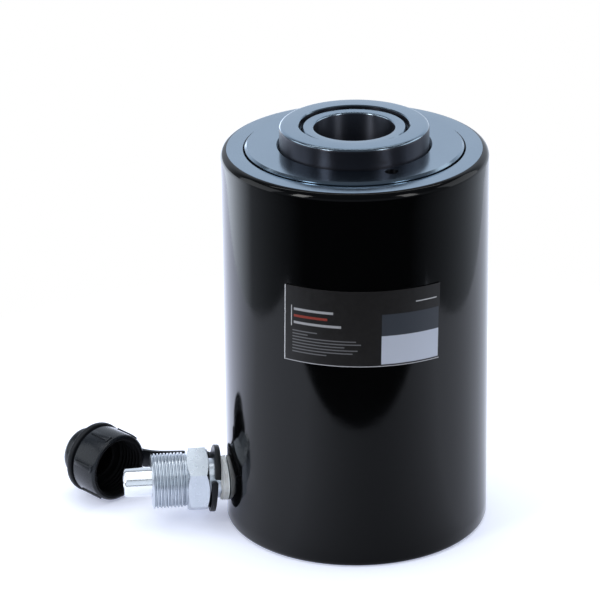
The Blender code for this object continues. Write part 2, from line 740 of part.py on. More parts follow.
def band_path(cap_ring):
    """From inside the neck ring, round a bend, down past the cap and into its ring."""
    bend = BAND_BEND
    root = (PIPE_RADIUS + neck_ring_radius) / 2
    leave = neck_ring_radius + BAND_THICKNESS / 2
    points = [Vector((0, root, 0)), Vector((0, leave, 0))]
    points += bend_points(Vector((-bend, leave, 0)), 0, BAND_START_TURN, bend, 5)
    heading = pi / 2 + BAND_START_TURN
    start = points[-1]
    start_way = Vector((cos(heading), sin(heading), 0))
    forward = Vector((cap_direction.x, cap_direction.y, 0)).normalized()
    low = cap_ring - Vector((0, 0, BAND_DROP))
    reach = sqrt(cap_ring_radius**2 - BAND_DROP**2)
    level = low + cap_side * (reach + BAND_THICKNESS / 2)
    end = level + cap_side * bend + forward * bend
    length = (end - start).length
    for step in range(1, 17):
        t = step / 16
        point = start * (1 - t) ** 3 + (start + start_way * length / 3) * (3 * t * (1 - t) ** 2)
        point += (end + forward * length / 3) * (3 * t * t * (1 - t)) + end * t**3
        points.append(point)
    turn_start = atan2(cap_side.y, cap_side.x)
    points += bend_points(level + forward * bend, turn_start, pi / 2, bend, 5)
    points.append(low + cap_side * ((CAP_NECK_RADIUS + reach) / 2))
    return points


def band_shape(cap_ring):
    points = band_path(cap_ring)
    sections = []
    for i, point in enumerate(points):
        before = points[max(i - 1, 0)]
        after = points[min(i + 1, len(points) - 1)]
        way = (after - before).to_2d().normalized()
        across = Vector((-way.y, way.x, 0)) * (BAND_THICKNESS / 2)
        up = Vector((0, 0, BAND_WIDTH / 2))
        sections.append([point - across - up, point + across - up, point + across + up, point - across + up])
    return swept_shape(sections)


def make_strap(strap_frame, cap_frame, plastic):
    cap_ring = strap_frame.matrix_world.inverted() @ cap_frame.matrix_world.translation
    band = add_object("cap_strap", band_shape(cap_ring), plastic, strap_frame)
    half = CAP_RING_THICKNESS / 2
    inner = CAP_NECK_RADIUS + TOUCH
    far_ring = turned_shape(square_ring(inner, cap_ring_radius, -half, half), CAP_STEPS)
    combine(band, add_cutter("neck_ring_union", neck_ring_shape(), strap_frame), "UNION")
    combine(band, add_cutter("cap_ring_union", far_ring, cap_frame), "UNION")


# Dust cap, turned along the local Z axis, which points out of its mouth


def cap_outline():
    bottom = -cap_neck_half - CAP_KNOB_LENGTH
    rounding = CAP_KNOB_ROUNDING
    shoulder = cap_neck_half + CAP_EDGE
    inner = CAP_RADIUS - CAP_WALL
    probe_room = CAP_NECK_RADIUS - CAP_NECK_WALL
    lip = CAP_WALL / 2
    points = [(0, bottom)]
    points += arc(CAP_KNOB_RADIUS - rounding, bottom + rounding, rounding, -90, 0, 3)
    points += [(CAP_KNOB_RADIUS, -cap_neck_half), (CAP_NECK_RADIUS, -cap_neck_half)]
    points += [(CAP_NECK_RADIUS, cap_neck_half), (CAP_RADIUS - CAP_EDGE, cap_neck_half)]
    points.append((CAP_RADIUS, shoulder))
    points += arc(CAP_RADIUS - lip, cap_mouth - lip, lip, 0, 180, 3)
    points += [(inner, cap_neck_half + CAP_FLOOR), (probe_room, cap_neck_half + CAP_FLOOR)]
    points += [(probe_room, bottom + CAP_KNOB_FLOOR), (0, bottom + CAP_KNOB_FLOOR)]
    return points


def rib_bars():
    """Bars along the cap's side, which stand out of it by the height of a rib."""
    low = cap_neck_half + CAP_EDGE + CAP_RIB_HEIGHT
    high = cap_mouth - CAP_RIB_INSET
    inner = CAP_RADIUS - CAP_WALL / 2
    outer = CAP_RADIUS + CAP_RIB_HEIGHT
    bars = bmesh.new()
    for rib in range(CAP_RIBS):
        middle = Matrix.Translation(((inner + outer) / 2, 0, (low + high) / 2))
        size = Matrix.Diagonal((outer - inner, CAP_RIB_WIDTH, high - low, 1))
        turn = Matrix.Rotation(CAP_RIB_START + 2 * pi * rib / CAP_RIBS, 4, "Z")
        bmesh.ops.create_cube(bars, size=1, matrix=turn @ middle @ size)
    return bars


def make_cap(parent, plastic):
    cap = turned("dust_cap", cap_outline(), CAP_STEPS, plastic, parent)
    combine(cap, add_cutter("cap_ribs", rib_bars(), parent), "UNION")


# The whole part


def main():
    remove_everything()

    body_paint = make_material("body_paint", (0.010, 0.011, 0.013), 0.12)
    label_vinyl = make_material("label_vinyl", (0.025, 0.026, 0.028), 0.35)
    black_steel = make_material("black_steel", (0.020, 0.026, 0.034), 0.32, 0.6)
    chromed_steel = make_material("chromed_steel", (0.62, 0.64, 0.66), 0.16, 1.0)
    ground_steel = make_material("ground_steel", (0.42, 0.43, 0.44), 0.3, 1.0)
    zinc_plate = make_material("zinc_plate", (0.66, 0.69, 0.72), 0.28, 1.0)
    spring_steel = make_material("spring_steel", (0.10, 0.10, 0.11), 0.4, 0.8)
    bronze = make_material("bronze", (0.45, 0.28, 0.12), 0.4, 0.9)
    rubber = make_material("rubber", (0.015, 0.015, 0.016), 0.7)
    polyurethane = make_material("polyurethane", (0.08, 0.16, 0.38), 0.5)
    nylon = make_material("nylon", (0.72, 0.68, 0.58), 0.5)
    thread_seal = make_material("thread_seal", (0.68, 0.65, 0.55), 0.6)
    strap_plastic = make_material("strap_plastic", (0.018, 0.020, 0.022), 0.45)
    cap_plastic = make_material("cap_plastic", (0.030, 0.034, 0.040), 0.38)

    body_frame = add_frame("body_frame", (body_x, 0, 0))
    plunger_frame = add_frame("plunger_frame", (0, 0, 0), parent=body_frame)
    along_coupler = (0, -pi / 2, 0)
    coupler_frame = add_frame("coupler_frame", (0, 0, port_height), along_coupler, body_frame)
    ball_reach = BALL_RADIUS + TOUCH
    ball_setback = sqrt(ball_reach * ball_reach - PROBE_TIP_BORE * PROBE_TIP_BORE)
    ball_place = probe_tip - PROBE_TIP_LENGTH - ball_setback
    ball_frame = add_frame("ball_frame", (0, 0, ball_place), parent=coupler_frame)
    strap_frame = add_frame("strap_frame", (-neck_ring_position, 0, port_height), parent=body_frame)
    cap_turn = (0, pi / 2 - CAP_TILT, CAP_AZIMUTH)
    cap_frame = add_frame("cap_frame", cap_place, cap_turn, body_frame)
    bpy.context.view_layer.update()

    make_body(body_frame, coupler_frame, body_paint)
    make_label(body_frame, label_vinyl)
    make_gland(body_frame, black_steel, rubber, bronze)
    make_tube(body_frame, ground_steel, rubber, nylon)
    make_plunger(plunger_frame, black_steel)
    make_piston_seals(plunger_frame, polyurethane, nylon, bronze)
    make_saddle(plunger_frame, black_steel)
    make_return_spring(body_frame, spring_steel)
    make_coupler(coupler_frame, zinc_plate)
    make_probe(coupler_frame, chromed_steel, rubber)
    make_check(coupler_frame, ball_frame, ball_place, chromed_steel, spring_steel)
    make_tape(coupler_frame, body_frame, thread_seal)
    make_strap(strap_frame, cap_frame, strap_plastic)
    make_cap(cap_frame, cap_plastic)
    print("body axis at x =", round(body_x, 5), "stroke", round(stroke, 5))


main()
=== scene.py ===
import json
from math import asin, atan2, cos, pi, radians, sin, sqrt

import bpy
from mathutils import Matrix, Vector


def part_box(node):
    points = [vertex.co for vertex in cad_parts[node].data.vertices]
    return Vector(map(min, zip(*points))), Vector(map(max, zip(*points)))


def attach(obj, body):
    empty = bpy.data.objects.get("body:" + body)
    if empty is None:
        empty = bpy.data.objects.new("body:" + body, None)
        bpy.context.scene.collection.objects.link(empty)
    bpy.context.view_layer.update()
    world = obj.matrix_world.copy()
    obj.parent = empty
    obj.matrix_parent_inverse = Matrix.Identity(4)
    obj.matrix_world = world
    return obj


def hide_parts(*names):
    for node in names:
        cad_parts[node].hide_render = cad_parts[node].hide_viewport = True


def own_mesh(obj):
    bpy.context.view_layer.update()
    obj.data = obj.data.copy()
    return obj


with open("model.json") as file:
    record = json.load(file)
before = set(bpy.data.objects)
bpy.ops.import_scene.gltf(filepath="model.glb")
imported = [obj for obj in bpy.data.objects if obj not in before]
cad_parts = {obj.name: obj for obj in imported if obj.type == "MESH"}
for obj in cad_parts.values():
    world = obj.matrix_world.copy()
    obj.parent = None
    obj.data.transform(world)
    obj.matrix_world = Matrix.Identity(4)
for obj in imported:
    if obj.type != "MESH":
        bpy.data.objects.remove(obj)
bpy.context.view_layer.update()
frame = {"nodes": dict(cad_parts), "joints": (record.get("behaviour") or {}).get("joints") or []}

bodyLow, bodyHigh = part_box("cylinder_body")
axisX = (bodyLow.x + bodyHigh.x) / 2  # the body's axis stands here, at y = 0
axisPlace = (axisX, 0, 0)
couplerHeight = 0.01855  # of the port's axis above the ground
couplerPlace = (axisX, 0, couplerHeight)
couplerTurn = (0, -pi / 2, 0)  # a piece's own z then runs out along -X
weldDistance = 0.000002
faceRoom = 0.0001  # a face this near to a level lies on it


# Camera, at the photograph's place and angle

cameraSizes = {
    "lens": 220.5, "sensor": 36, "sight": 20, "place": (-0.1312, -1.4476, 0.7106),
    "turn": (67.2514, 0.6479, -5.8777),
}


def makeCamera():
    size = cameraSizes
    data = bpy.data.cameras.new("studioCamera")
    data.lens = size["lens"]
    data.sensor_width = size["sensor"]
    data.clip_end = size["sight"]
    camera = bpy.data.objects.new("studioCamera", data)
    camera.location = size["place"]
    camera.rotation_euler = [radians(angle) for angle in size["turn"]]
    bpy.context.scene.collection.objects.link(camera)
    bpy.context.scene.camera = camera


# Modelling helpers

def take(sizes, names):
    return [sizes[name] for name in names.split()]


def pick(piece):
    bpy.ops.object.select_all(action="DESELECT")
    piece.select_set(True)
    bpy.context.view_layer.objects.active = piece


def editAll(piece):
    pick(piece)
    bpy.ops.object.mode_set(mode="EDIT")
    bpy.ops.mesh.select_mode(type="VERT")
    bpy.ops.mesh.select_all(action="SELECT")


def leaveEdit():
    bpy.ops.object.mode_set(mode="OBJECT")


def nameNew(name):
    piece = bpy.context.object
    piece.name = piece.data.name = name
    return piece


def faceOutward(piece):
    editAll(piece)
    bpy.ops.mesh.normals_make_consistent(inside=False)
    leaveEdit()


def closeEnds(piece, sides):
    # fills the two open ends of an outline that was swept
    editAll(piece)
    bpy.ops.mesh.remove_doubles(threshold=weldDistance)
    bpy.ops.mesh.select_all(action="DESELECT")
    bpy.ops.mesh.select_non_manifold()
    bpy.ops.mesh.fill_holes(sides=sides)
    leaveEdit()
    faceOutward(piece)


def pullLine(name, start, moves):
    # a line of edges, left open for more steps in edit mode
    bpy.ops.mesh.primitive_plane_add(size=1)
    piece = nameNew(name)
    editAll(piece)
    bpy.ops.mesh.merge(type="CENTER")
    bpy.ops.transform.translate(value=start)
    for move in moves:
        bpy.ops.mesh.extrude_vertices_move(TRANSFORM_OT_translate={"value": move})
    return piece


def turnRings(name, steps, rings, filled=False):
    # a circle is pulled and scaled from ring to ring, as on a lathe
    radius, height = rings[0]
    fill = "TRIFAN" if filled else "NOTHING"
    bpy.ops.mesh.primitive_circle_add(vertices=steps, radius=radius, fill_type=fill)
    piece = nameNew(name)
    editAll(piece)
    bpy.ops.transform.translate(value=(0, 0, height))
    for nextRadius, nextHeight in rings[1:] + ([] if filled else rings[:1]):
        rise = {"value": (0, 0, nextHeight - height)}
        bpy.ops.mesh.extrude_region_move(TRANSFORM_OT_translate=rise)
        scale = nextRadius / radius
        centre = (0, 0, nextHeight)
        bpy.ops.transform.resize(value=(scale, scale, 1), center_override=centre)
        radius, height = nextRadius, nextHeight
    bpy.ops.mesh.select_all(action="SELECT")
    bpy.ops.mesh.remove_doubles(threshold=weldDistance)
    bpy.ops.mesh.normals_make_consistent(inside=False)
    leaveEdit()
    return piece


def arcRings(radius, height, size, start, end, steps):
    turns = [radians(start + (end - start) * step / steps) for step in range(steps + 1)]
    return [(radius + size * cos(turn), height + size * sin(turn)) for turn in turns]


def grooveRings(wall, depth, low, high):
    # depth is outwards, so it is negative in an outer wall
    return [(wall, low), (wall + depth, low), (wall + depth, high), (wall, high)]


def threadRings(wall, start, depth, pitch, width, turns):
    # V grooves for a hidden thread; depth is outwards, pitch and width are upwards
    rings = []
    for turn in range(turns):
        level = start + turn * pitch
        rings += [(wall, level), (wall + depth, level + width / 2), (wall, level + width)]
    return rings


def useModifier(piece, kind, **settings):
    pick(piece)
    modifier = piece.modifiers.new(kind.lower(), kind)
    for key, value in settings.items():
        setattr(modifier, key, value)
    bpy.ops.object.modifier_apply(modifier=modifier.name)
    return piece


def roundEdges(piece, width, segments=2, angle=30):
    return useModifier(piece, "BEVEL", width=width, segments=segments,
                       limit_method="ANGLE", angle_limit=radians(angle))


def boolean(piece, tool, operation):
    useModifier(piece, "BOOLEAN", operation=operation, solver="EXACT", object=tool)
    bpy.data.objects.remove(tool)


def placePiece(piece, location, turn=(0, 0, 0)):
    pick(piece)
    piece.location = location
    piece.rotation_euler = turn
    bpy.ops.object.transform_apply(location=True, rotation=True, scale=True)
    return piece


def finishPiece(piece, body, nodes, materials, sharpAngle=32):
    pick(piece)
    bpy.ops.object.transform_apply(location=True, rotation=True, scale=True)
    bpy.ops.object.shade_smooth_by_angle(angle=radians(sharpAngle))
    for material in materials:
        piece.data.materials.append(material)
    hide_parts(*nodes)
    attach(piece, body)
    print("piece", piece.name, "done")
    return piece


def paintFaces(piece, slotIndex, wanted):
    # wanted(centre, normal) says which faces take that material
    for face in piece.data.polygons:
        if wanted(face.center, face.normal):
            face.material_index = slotIndex


def fromAxis(point):
    return Vector((point.x - axisX, point.y)).length


# Material helpers

def startMaterial(name, **sockets):
    material = bpy.data.materials.new(name)
    material.use_nodes = True
    shader = material.node_tree.nodes["Principled BSDF"]
    for socket, value in sockets.items():
        shader.inputs[socket.replace("_", " ")].default_value = value
    return material, shader


def addNode(material, kind, settings=None, **inputs):
    node = material.node_tree.nodes.new("ShaderNode" + kind)
    for key, value in (settings or {}).items():
        setattr(node, key, value)
    for key, value in inputs.items():
        byNumber = key[0] == "i" and key[1:].isdigit()  # i0 is the first socket
        socket = node.inputs[int(key[1:]) if byNumber else key]
        if isinstance(value, bpy.types.NodeSocket):
            material.node_tree.links.new(value, socket)
        else:
            socket.default_value = value
    return node


def joinTo(material, output, socket):
    material.node_tree.links.new(output, socket)


def joinFinish(material, shader, colour, roughness):
    joinTo(material, colour, shader.inputs["Base Color"])
    joinTo(material, roughness, shader.inputs["Roughness"])


def objectPlace(material, centre=(0, 0, 0), scale=(1, 1, 1)):
    place = addNode(material, "TexCoord").outputs["Object"]
    shift = tuple(-part * size for part, size in zip(centre, scale))
    return addNode(material, "Mapping", Vector=place, Location=shift, Scale=scale).outputs["Vector"]


def noiseOf(material, place, scale, detail=3.0, roughness=0.55):
    return addNode(material, "TexNoise", Vector=place, Scale=scale, Detail=detail,
                   Roughness=roughness).outputs["Fac"]


def spread(material, value, low, high, fromLow=0.3, fromHigh=0.7):
    return addNode(material, "MapRange", i0=value, i1=fromLow, i2=fromHigh, i3=low, i4=high).outputs["Result"]


def blendColours(material, factor, first, second):
    first, second = (value if isinstance(value, bpy.types.NodeSocket) else (*value, 1)
                     for value in (first, second))
    return addNode(material, "Mix", {"data_type": "RGBA"}, i0=factor, i6=first, i7=second).outputs[2]


def addBump(material, shader, height, distance, strength=1.0):
    bump = addNode(material, "Bump", Height=height, Distance=distance, Strength=strength)
    joinTo(material, bump.outputs["Normal"], shader.inputs["Normal"])


def vary(material, value, middle, variation):
    return spread(material, value, middle - variation, middle + variation)


def distanceFrom(material, centre):
    # how far a point lies from the upright axis there
    place = objectPlace(material, centre, (1, 1, 0))
    return addNode(material, "VectorMath", {"operation": "LENGTH"}, i0=place).outputs["Value"]


def alongWay(material, vector, way):
    return addNode(material, "VectorMath", {"operation": "DOT_PRODUCT"}, i0=vector, i1=way).outputs["Value"]


def mathOf(material, operation, *values):
    inputs = {f"i{index}": value for index, value in enumerate(values)}
    return addNode(material, "Math", {"operation": operation}, **inputs).outputs[0]


def mixNumbers(material, factor, first, second):
    return addNode(material, "Mix", {"data_type": "FLOAT"}, i0=factor, i2=first, i3=second).outputs[0]


def mixShaders(material, factor, first, second):
    return addNode(material, "MixShader", i0=factor, i1=first, i2=second).outputs[0]


# Finishes

def makeBodyPaint():
    material, shader = startMaterial("glossBlackPaint", IOR=1.33)
    place = objectPlace(material)
    cloud = noiseOf(material, place, scale=35)
    colour = blendColours(material, cloud, (0.0008, 0.0009, 0.0010), (0.0014, 0.0015, 0.0017))
    joinFinish(material, shader, colour, spread(material, noiseOf(material, place, scale=90), 0.07, 0.11))
    peel = noiseOf(material, place, scale=240, detail=1.5)
    addBump(material, shader, peel, distance=0.00002, strength=0.25)
    return material


def makeSatinSteel(name, dark, light, roughness):
    # faced on a lathe: fine rings round the body's axis
    ringsPerMetre = 6000
    material, shader = startMaterial(name, Metallic=1.0)
    place = objectPlace(material)
    colour = blendColours(material, noiseOf(material, place, scale=45), dark, light)
    joinFinish(material, shader, colour, vary(material, noiseOf(material, place, scale=160), roughness, 0.01))
    marks = addNode(material, "TexNoise", {"noise_dimensions": "1D"}, W=distanceFrom(material, axisPlace),
                    Scale=ringsPerMetre, Detail=2.0)
    addBump(material, shader, marks.outputs["Fac"], distance=0.000003, strength=0.3)
    return material


def makeRodSteel(name, dark, light, roughness, metallic=1.0):
    # turned on its side, so that lights draw out into streaks along the axis
    material, shader = startMaterial(name, Metallic=metallic, Anisotropic=0.85, Anisotropic_Rotation=0.25)
    cloud = noiseOf(material, objectPlace(material, scale=(1, 1, 0.15)), scale=60)
    colour = blendColours(material, spread(material, cloud, 0, 1), dark, light)
    mottle = noiseOf(material, objectPlace(material), scale=90)
    joinFinish(material, shader, colour, vary(material, mottle, roughness, 0.04))
    around = addNode(material, "Tangent", {"direction_type": "RADIAL", "axis": "Z"})
    joinTo(material, around.outputs["Tangent"], shader.inputs["Tangent"])
    return material


def makeMottled(name, dark, light, roughness, place, cloudNoise, fineNoise, variation, bump, **sockets):
    # clouds in the colour, and a finer noise in the roughness and the bump; noises are (scale, detail)
    material, shader = startMaterial(name, **sockets)
    place = objectPlace(material, place)
    cloud = spread(material, noiseOf(material, place, *cloudNoise), 0, 1)
    fine = noiseOf(material, place, *fineNoise)
    joinFinish(material, shader, blendColours(material, cloud, dark, light),
               vary(material, fine, roughness, variation))
    addBump(material, shader, fine, bump, strength=0.4)
    return material


def makeMetal(name, dark, light, roughness, variation=0.06, mottle=300, bump=0.00001):
    return makeMottled(name, dark, light, roughness, couplerPlace, (mottle, 4), (mottle * 3.1, 3), variation,
                       bump, Metallic=1.0)


def makePlain(name, dark, light, roughness, grain=700, **sockets):
    return makeMottled(name, dark, light, roughness, (0, 0, 0), (120, 3), (grain, 3), variation=0.06,
                       bump=0.00003, **sockets)


def makeTapeMaterial():
    material, shader = startMaterial("sealingTape", Subsurface_Weight=0.05, Roughness=0.55)
    place = objectPlace(material, couplerPlace)
    wraps = addNode(material, "TexWave", {"wave_type": "BANDS", "bands_direction": "X"}, Vector=place,
                    Scale=130, Distortion=3.5, Detail=3.0).outputs["Fac"]
    dirt = spread(material, noiseOf(material, place, scale=420, detail=5), 0, 1, 0.35, 0.75)
    tone = blendColours(material, dirt, (0.95, 0.95, 0.95), (0.80, 0.77, 0.73))
    crests = spread(material, wraps, 0, 0.5, 0.6, 1)
    joinTo(material, blendColours(material, crests, tone, (0.94, 0.94, 0.95)), shader.inputs["Base Color"])
    addBump(material, shader, wraps, distance=0.0001, strength=0.6)
    return material


# each field is its left, right, lower and upper edge as shares of the label, and its tint
labelFields = {
    "greyPanel": ((0.612, 0.992, 0.405, 0.690), (0.045, 0.052, 0.065)),
    "whitePanel": ((0.612, 0.992, 0.030, 0.405), (0.54, 0.58, 0.68)),
    "leftBorder": ((0.0, 0.006, 0.0, 1.0), (0.75, 0.75, 0.78)),
    "lowBorder": ((0.0, 1.0, 0.0, 0.010), (0.55, 0.55, 0.58)),
    "panelRule": ((0.828, 0.975, 0.815, 0.828), (0.60, 0.60, 0.62)),
    "uprightRule": ((0.046, 0.051, 0.470, 0.745), (0.60, 0.60, 0.62)),
}
# plain bars in rows, with their lengths and tints from the top row down
labelRows = {
    "wide": {"left": 0.064, "top": 0.700, "step": 0.088, "half": 0.016, "lengths": (0.250, 0.215, 0.300),
             "tints": ((0.42, 0.42, 0.44), (0.30, 0.05, 0.035), (0.42, 0.42, 0.44))},
    "narrow": {"left": 0.056, "top": 0.415, "step": 0.040, "half": 0.007,
               "lengths": (0.16, 0.10, 0.40, 0.43, 0.33, 0.41, 0.38, 0.22),
               "tints": ((0.16, 0.16, 0.17),) * 8},
}


def makeLabelMaterial():
    # blank fields only: a border, two plain panels and plain bars, and no lettering
    material, shader = startMaterial("labelVinyl", Specular_IOR_Level=0.3)
    place = addNode(material, "TexCoord").outputs["UV"]
    parts = addNode(material, "SeparateXYZ", i0=place)

    def within(value, low, high, soft):
        rise = spread(material, value, 0, 1, low - soft, low + soft)
        fall = spread(material, value, 1, 0, high - soft, high + soft)
        return mathOf(material, "MULTIPLY", rise, fall)

    def field(left, right, low, high):
        across = within(parts.outputs["X"], left, right, 0.0015)
        return mathOf(material, "MULTIPLY", across, within(parts.outputs["Y"], low, high, 0.004))

    grain = noiseOf(material, objectPlace(material), scale=600)
    colour = blendColours(material, grain, (0.013, 0.012, 0.012), (0.019, 0.018, 0.018))
    fields = list(labelFields.values())
    for rows in labelRows.values():
        left, half = rows["left"], rows["half"]
        for row, (length, tint) in enumerate(zip(rows["lengths"], rows["tints"])):
            level = rows["top"] - row * rows["step"]
            fields.append(((left, left + length, level - half, level + half), tint))
    for edges, tint in fields:
        colour = blendColours(material, field(*edges), colour, tint)
    joinFinish(material, shader, colour, spread(material, grain, 0.30, 0.40))
    addBump(material, shader, grain, distance=0.00001, strength=0.3)
    return material


# Body, with its bore, its base and the mouth for the gland nut

bodySizes = {
    "radius": 0.057, "height": 0.1696, "fillet": 0.0034, "base": 0.016, "bore": 0.044, "seat": 0.143,
    "mouth": 0.0469, "mouthEdge": 0.0003, "hole": 0.0171, "holeEdge": 0.001, "tubeSeat": 0.0208,
    "tubeFloor": 0.004, "sealGroove": (0.0025, 0.0082, 0.0126), "threadTop": 0.0018,
    "thread": {"depth": 0.0007, "pitch": -0.0030, "width": -0.0016, "turns": 8},
    "foot": ((0.006, 0), (0.0015, 0), (0.0004, 0.0010), (0, 0.0021)),  # how far in, and the level
    "levels": (0.007, 0.030, 0.060, 0.100, 0.140, 0.160), "paintedWall": 0.004, "steps": 192,
    "portDrill": {"radius": 0.009, "ends": (0.046, 0.066), "steps": 64},
    "passageDrill": {"radius": 0.0024, "ends": (0.0416, 0.057), "steps": 32},
}


def makeBody(paint, satin, inside):
    size = bodySizes
    radius, height, fillet, hole, holeEdge = take(size, "radius height fillet hole holeEdge")
    mouth, seat, bore, base, tubeSeat, tubeFloor = take(size, "mouth seat bore base tubeSeat tubeFloor")
    rings = [(hole + holeEdge, 0)] + [(radius - inset, level) for inset, level in size["foot"]]
    rings += [(radius, level) for level in size["levels"]]
    rings += arcRings(radius - fillet, height - fillet, fillet, 0, 90, 9)
    rings += [(mouth + size["mouthEdge"], height), (mouth, height - size["mouthEdge"])]
    rings += threadRings(mouth, height - size["threadTop"], **size["thread"])
    rings += [(mouth, seat), (bore, seat), (bore, base), (tubeSeat, base)]
    rings += reversed(grooveRings(tubeSeat, *size["sealGroove"]))
    rings += [(tubeSeat, tubeFloor), (hole, tubeFloor), (hole, holeEdge)]
    body = turnRings("body_forging", size["steps"], rings)
    placePiece(body, axisPlace)
    for name in ("portDrill", "passageDrill"):
        drill = size[name]
        tool = turnRings(name, drill["steps"], [(drill["radius"], end) for end in drill["ends"]], filled=True)
        boolean(body, placePiece(tool, couplerPlace, couplerTurn), "DIFFERENCE")
    finishPiece(body, "cylinder", ["cylinder_body"], [paint, satin, inside])
    # the top rim and the base take the blacked steel whose light bluish grey is painted reflection
    paintFaces(body, 1, lambda centre, normal: centre.z > height - faceRoom or centre.z < faceRoom)
    # painted shade: the body's inner walls, seen down the groove round the gland, take the darker steel of
    # slot 2
    wall = radius - size["paintedWall"]
    paintFaces(body, 2, lambda centre, normal: abs(normal.z) < 0.99 and fromAxis(centre) < wall)


# Gland nut

glandSizes = {
    "bore": 0.03205, "threadRadius": 0.0466, "radius": 0.0464, "bottom": 0.1433, "top": 0.1711,
    "collar": 0.0045, "chamfer": 0.0009, "edge": 0.0005, "wiperGroove": (0.0032, 0.1601, 0.1659),
    "bearingGroove": (0.0022, 0.1473, 0.1589), "threadStart": 0.0012,
    "thread": {"depth": -0.0008, "pitch": 0.0030, "width": 0.0016, "turns": 7}, "steps": 160,
    "holeRadius": 0.0028, "holeCircle": 0.037, "holeDepth": 0.0042, "holeAngle": -72, "holeSteps": 40,
}


def makeGland(satin, dark):
    size = glandSizes
    bore, radius, top, bottom, chamfer, edge = take(size, "bore radius top bottom chamfer edge")
    thread, circle, hole = take(size, "threadRadius holeCircle holeRadius")
    shoulder = top - size["collar"]
    rings = [(bore + edge, bottom), (thread, bottom)]
    rings += threadRings(thread, bottom + size["threadStart"], **size["thread"])
    rings += [(thread, shoulder), (radius, shoulder), (radius, top - chamfer), (radius - chamfer, top)]
    rings += [(bore + chamfer, top), (bore, top - chamfer)]
    rings += reversed(grooveRings(bore, *size["wiperGroove"]))
    rings += reversed(grooveRings(bore, *size["bearingGroove"]))
    rings += [(bore, bottom + edge)]
    gland = turnRings("gland_collar", size["steps"], rings)
    holeEnds = [(hole, top - size["holeDepth"]), (hole, top + 0.001)]
    for side in (0, pi):
        turn = radians(size["holeAngle"]) + side
        drill = turnRings("spannerDrill", size["holeSteps"], holeEnds, filled=True)
        boolean(gland, placePiece(drill, (circle * cos(turn), circle * sin(turn), 0)), "DIFFERENCE")
    placePiece(gland, axisPlace)
    finishPiece(gland, "cylinder", ["gland_nut"], [satin, dark])
    # painted shade: the walls of the spanner holes take the darker steel
    room = hole + faceRoom
    paintFaces(gland, 1, lambda centre, normal: centre.z < top - edge
               and abs(fromAxis(centre) - circle) < room)


# Plunger, saddle and centre tube

plungerSizes = {
    "radius": 0.03175, "top": 0.180, "edge": 0.0017, "low": 0.018, "high": 0.041, "bore": 0.0208,
    "piston": 0.0437, "brink": 0.0004, "nose": ((0.004, 0), (0.0004, 0.0036), (0, 0.0044)),
    "pistonSealGroove": (-0.005, 0.0242, 0.0319), "pistonWearGroove": (-0.0018, 0.0341, 0.0385),
    "mouth": 0.0234, "mouthDepth": 0.0036, "pocket": 0.0229, "pocketFloor": 0.1601,
    "tubeWearGroove": (0.0016, 0.0296, 0.0344), "tubeSealGroove": (0.0042, 0.0220, 0.0274), "steps": 160,
}


def makePlunger(satin, side):
    size = plungerSizes
    radius, top, edge, low, high, bore = take(size, "radius top edge low high bore")
    piston, brink, mouth, pocket, floor = take(size, "piston brink mouth pocket pocketFloor")
    mouthFloor = top - size["mouthDepth"]
    rings = [(bore, low)] + [(piston - inset, low + rise) for inset, rise in size["nose"]]
    rings += grooveRings(piston, *size["pistonSealGroove"]) + grooveRings(piston, *size["pistonWearGroove"])
    rings += [(piston, high - brink), (piston - brink, high), (radius, high)]
    rings += arcRings(radius - edge, top - edge, edge, 0, 90, 6)
    rings += [(mouth + brink, top), (mouth, top - brink), (mouth, mouthFloor), (pocket, mouthFloor)]
    rings += [(pocket, floor), (bore, floor)]
    rings += reversed(grooveRings(bore, *size["tubeWearGroove"]))
    rings += reversed(grooveRings(bore, *size["tubeSealGroove"]))
    plunger = turnRings("plunger_rod", size["steps"], rings)
    placePiece(plunger, axisPlace)
    finishPiece(plunger, "plunger", ["plunger"], [satin, side])
    # the sides take the darker rod steel; the top faces keep the light bluish grey of painted reflection
    paintFaces(plunger, 1, lambda centre, normal: abs(normal.z) < 0.5)


saddleSizes = {
    "top": 0.1789, "radius": 0.022, "edge": 0.0005, "hole": 0.0171, "holeEdge": 0.0004, "lip": 0.0009,
    "bottom": 0.1604, "threadRadius": 0.0226, "threadStart": 0.1612, "threadEnd": 0.1761, "shoulder": 0.1767,
    "thread": {"depth": -0.0006, "pitch": 0.0020, "width": 0.0012, "turns": 7}, "steps": 128,
}


def makeSaddle(satin, side):
    size = saddleSizes
    top, radius, hole, bottom, thread = take(size, "top radius hole bottom threadRadius")
    edge, lip, holeEdge = take(size, "edge lip holeEdge")
    rings = [(hole + holeEdge, bottom), (thread, bottom)]
    rings += threadRings(thread, size["threadStart"], **size["thread"])
    rings += [(thread, size["threadEnd"]), (radius, size["shoulder"])]
    rings += [(radius, top - edge), (radius - edge, top)]
    rings += arcRings(hole + lip, top - lip, lip, 90, 180, 4)
    rings += [(hole, bottom + holeEdge)]
    saddle = turnRings("hollow_saddle", size["steps"], rings)
    placePiece(saddle, axisPlace)
    finishPiece(saddle, "plunger", ["saddle"], [satin, side])
    # painted light: the saddle's side and bore walls take a lighter copy of the rod steel
    paintFaces(saddle, 1, lambda centre, normal: abs(normal.z) < 0.35)


tubeSizes = {"inner": 0.0171, "outer": 0.0205, "low": 0.0043, "high": 0.1550, "edge": 0.0006, "steps": 128}


def makeTube(steel):
    size = tubeSizes
    inner, outer, low, high, edge = take(size, "inner outer low high edge")
    rings = [(inner + edge, low), (outer - edge, low), (outer, low + edge), (outer, high - edge)]
    rings += [(outer - edge, high), (inner + edge, high), (inner, high - edge), (inner, low + edge)]
    tube = turnRings("oil_chamber_tube", size["steps"], rings)
    placePiece(tube, axisPlace)
    finishPiece(tube, "cylinder", ["centre_tube"], [steel])


# Label place, a thin sheet bent round the body and left blank

labelSizes = {
    "width": 0.0685, "height": 0.0339, "thick": 0.0002, "middle": 0.11005, "radius": 0.0574, "angle": -93.2,
    "tilt": 1.2, "cells": (48, 6),
}


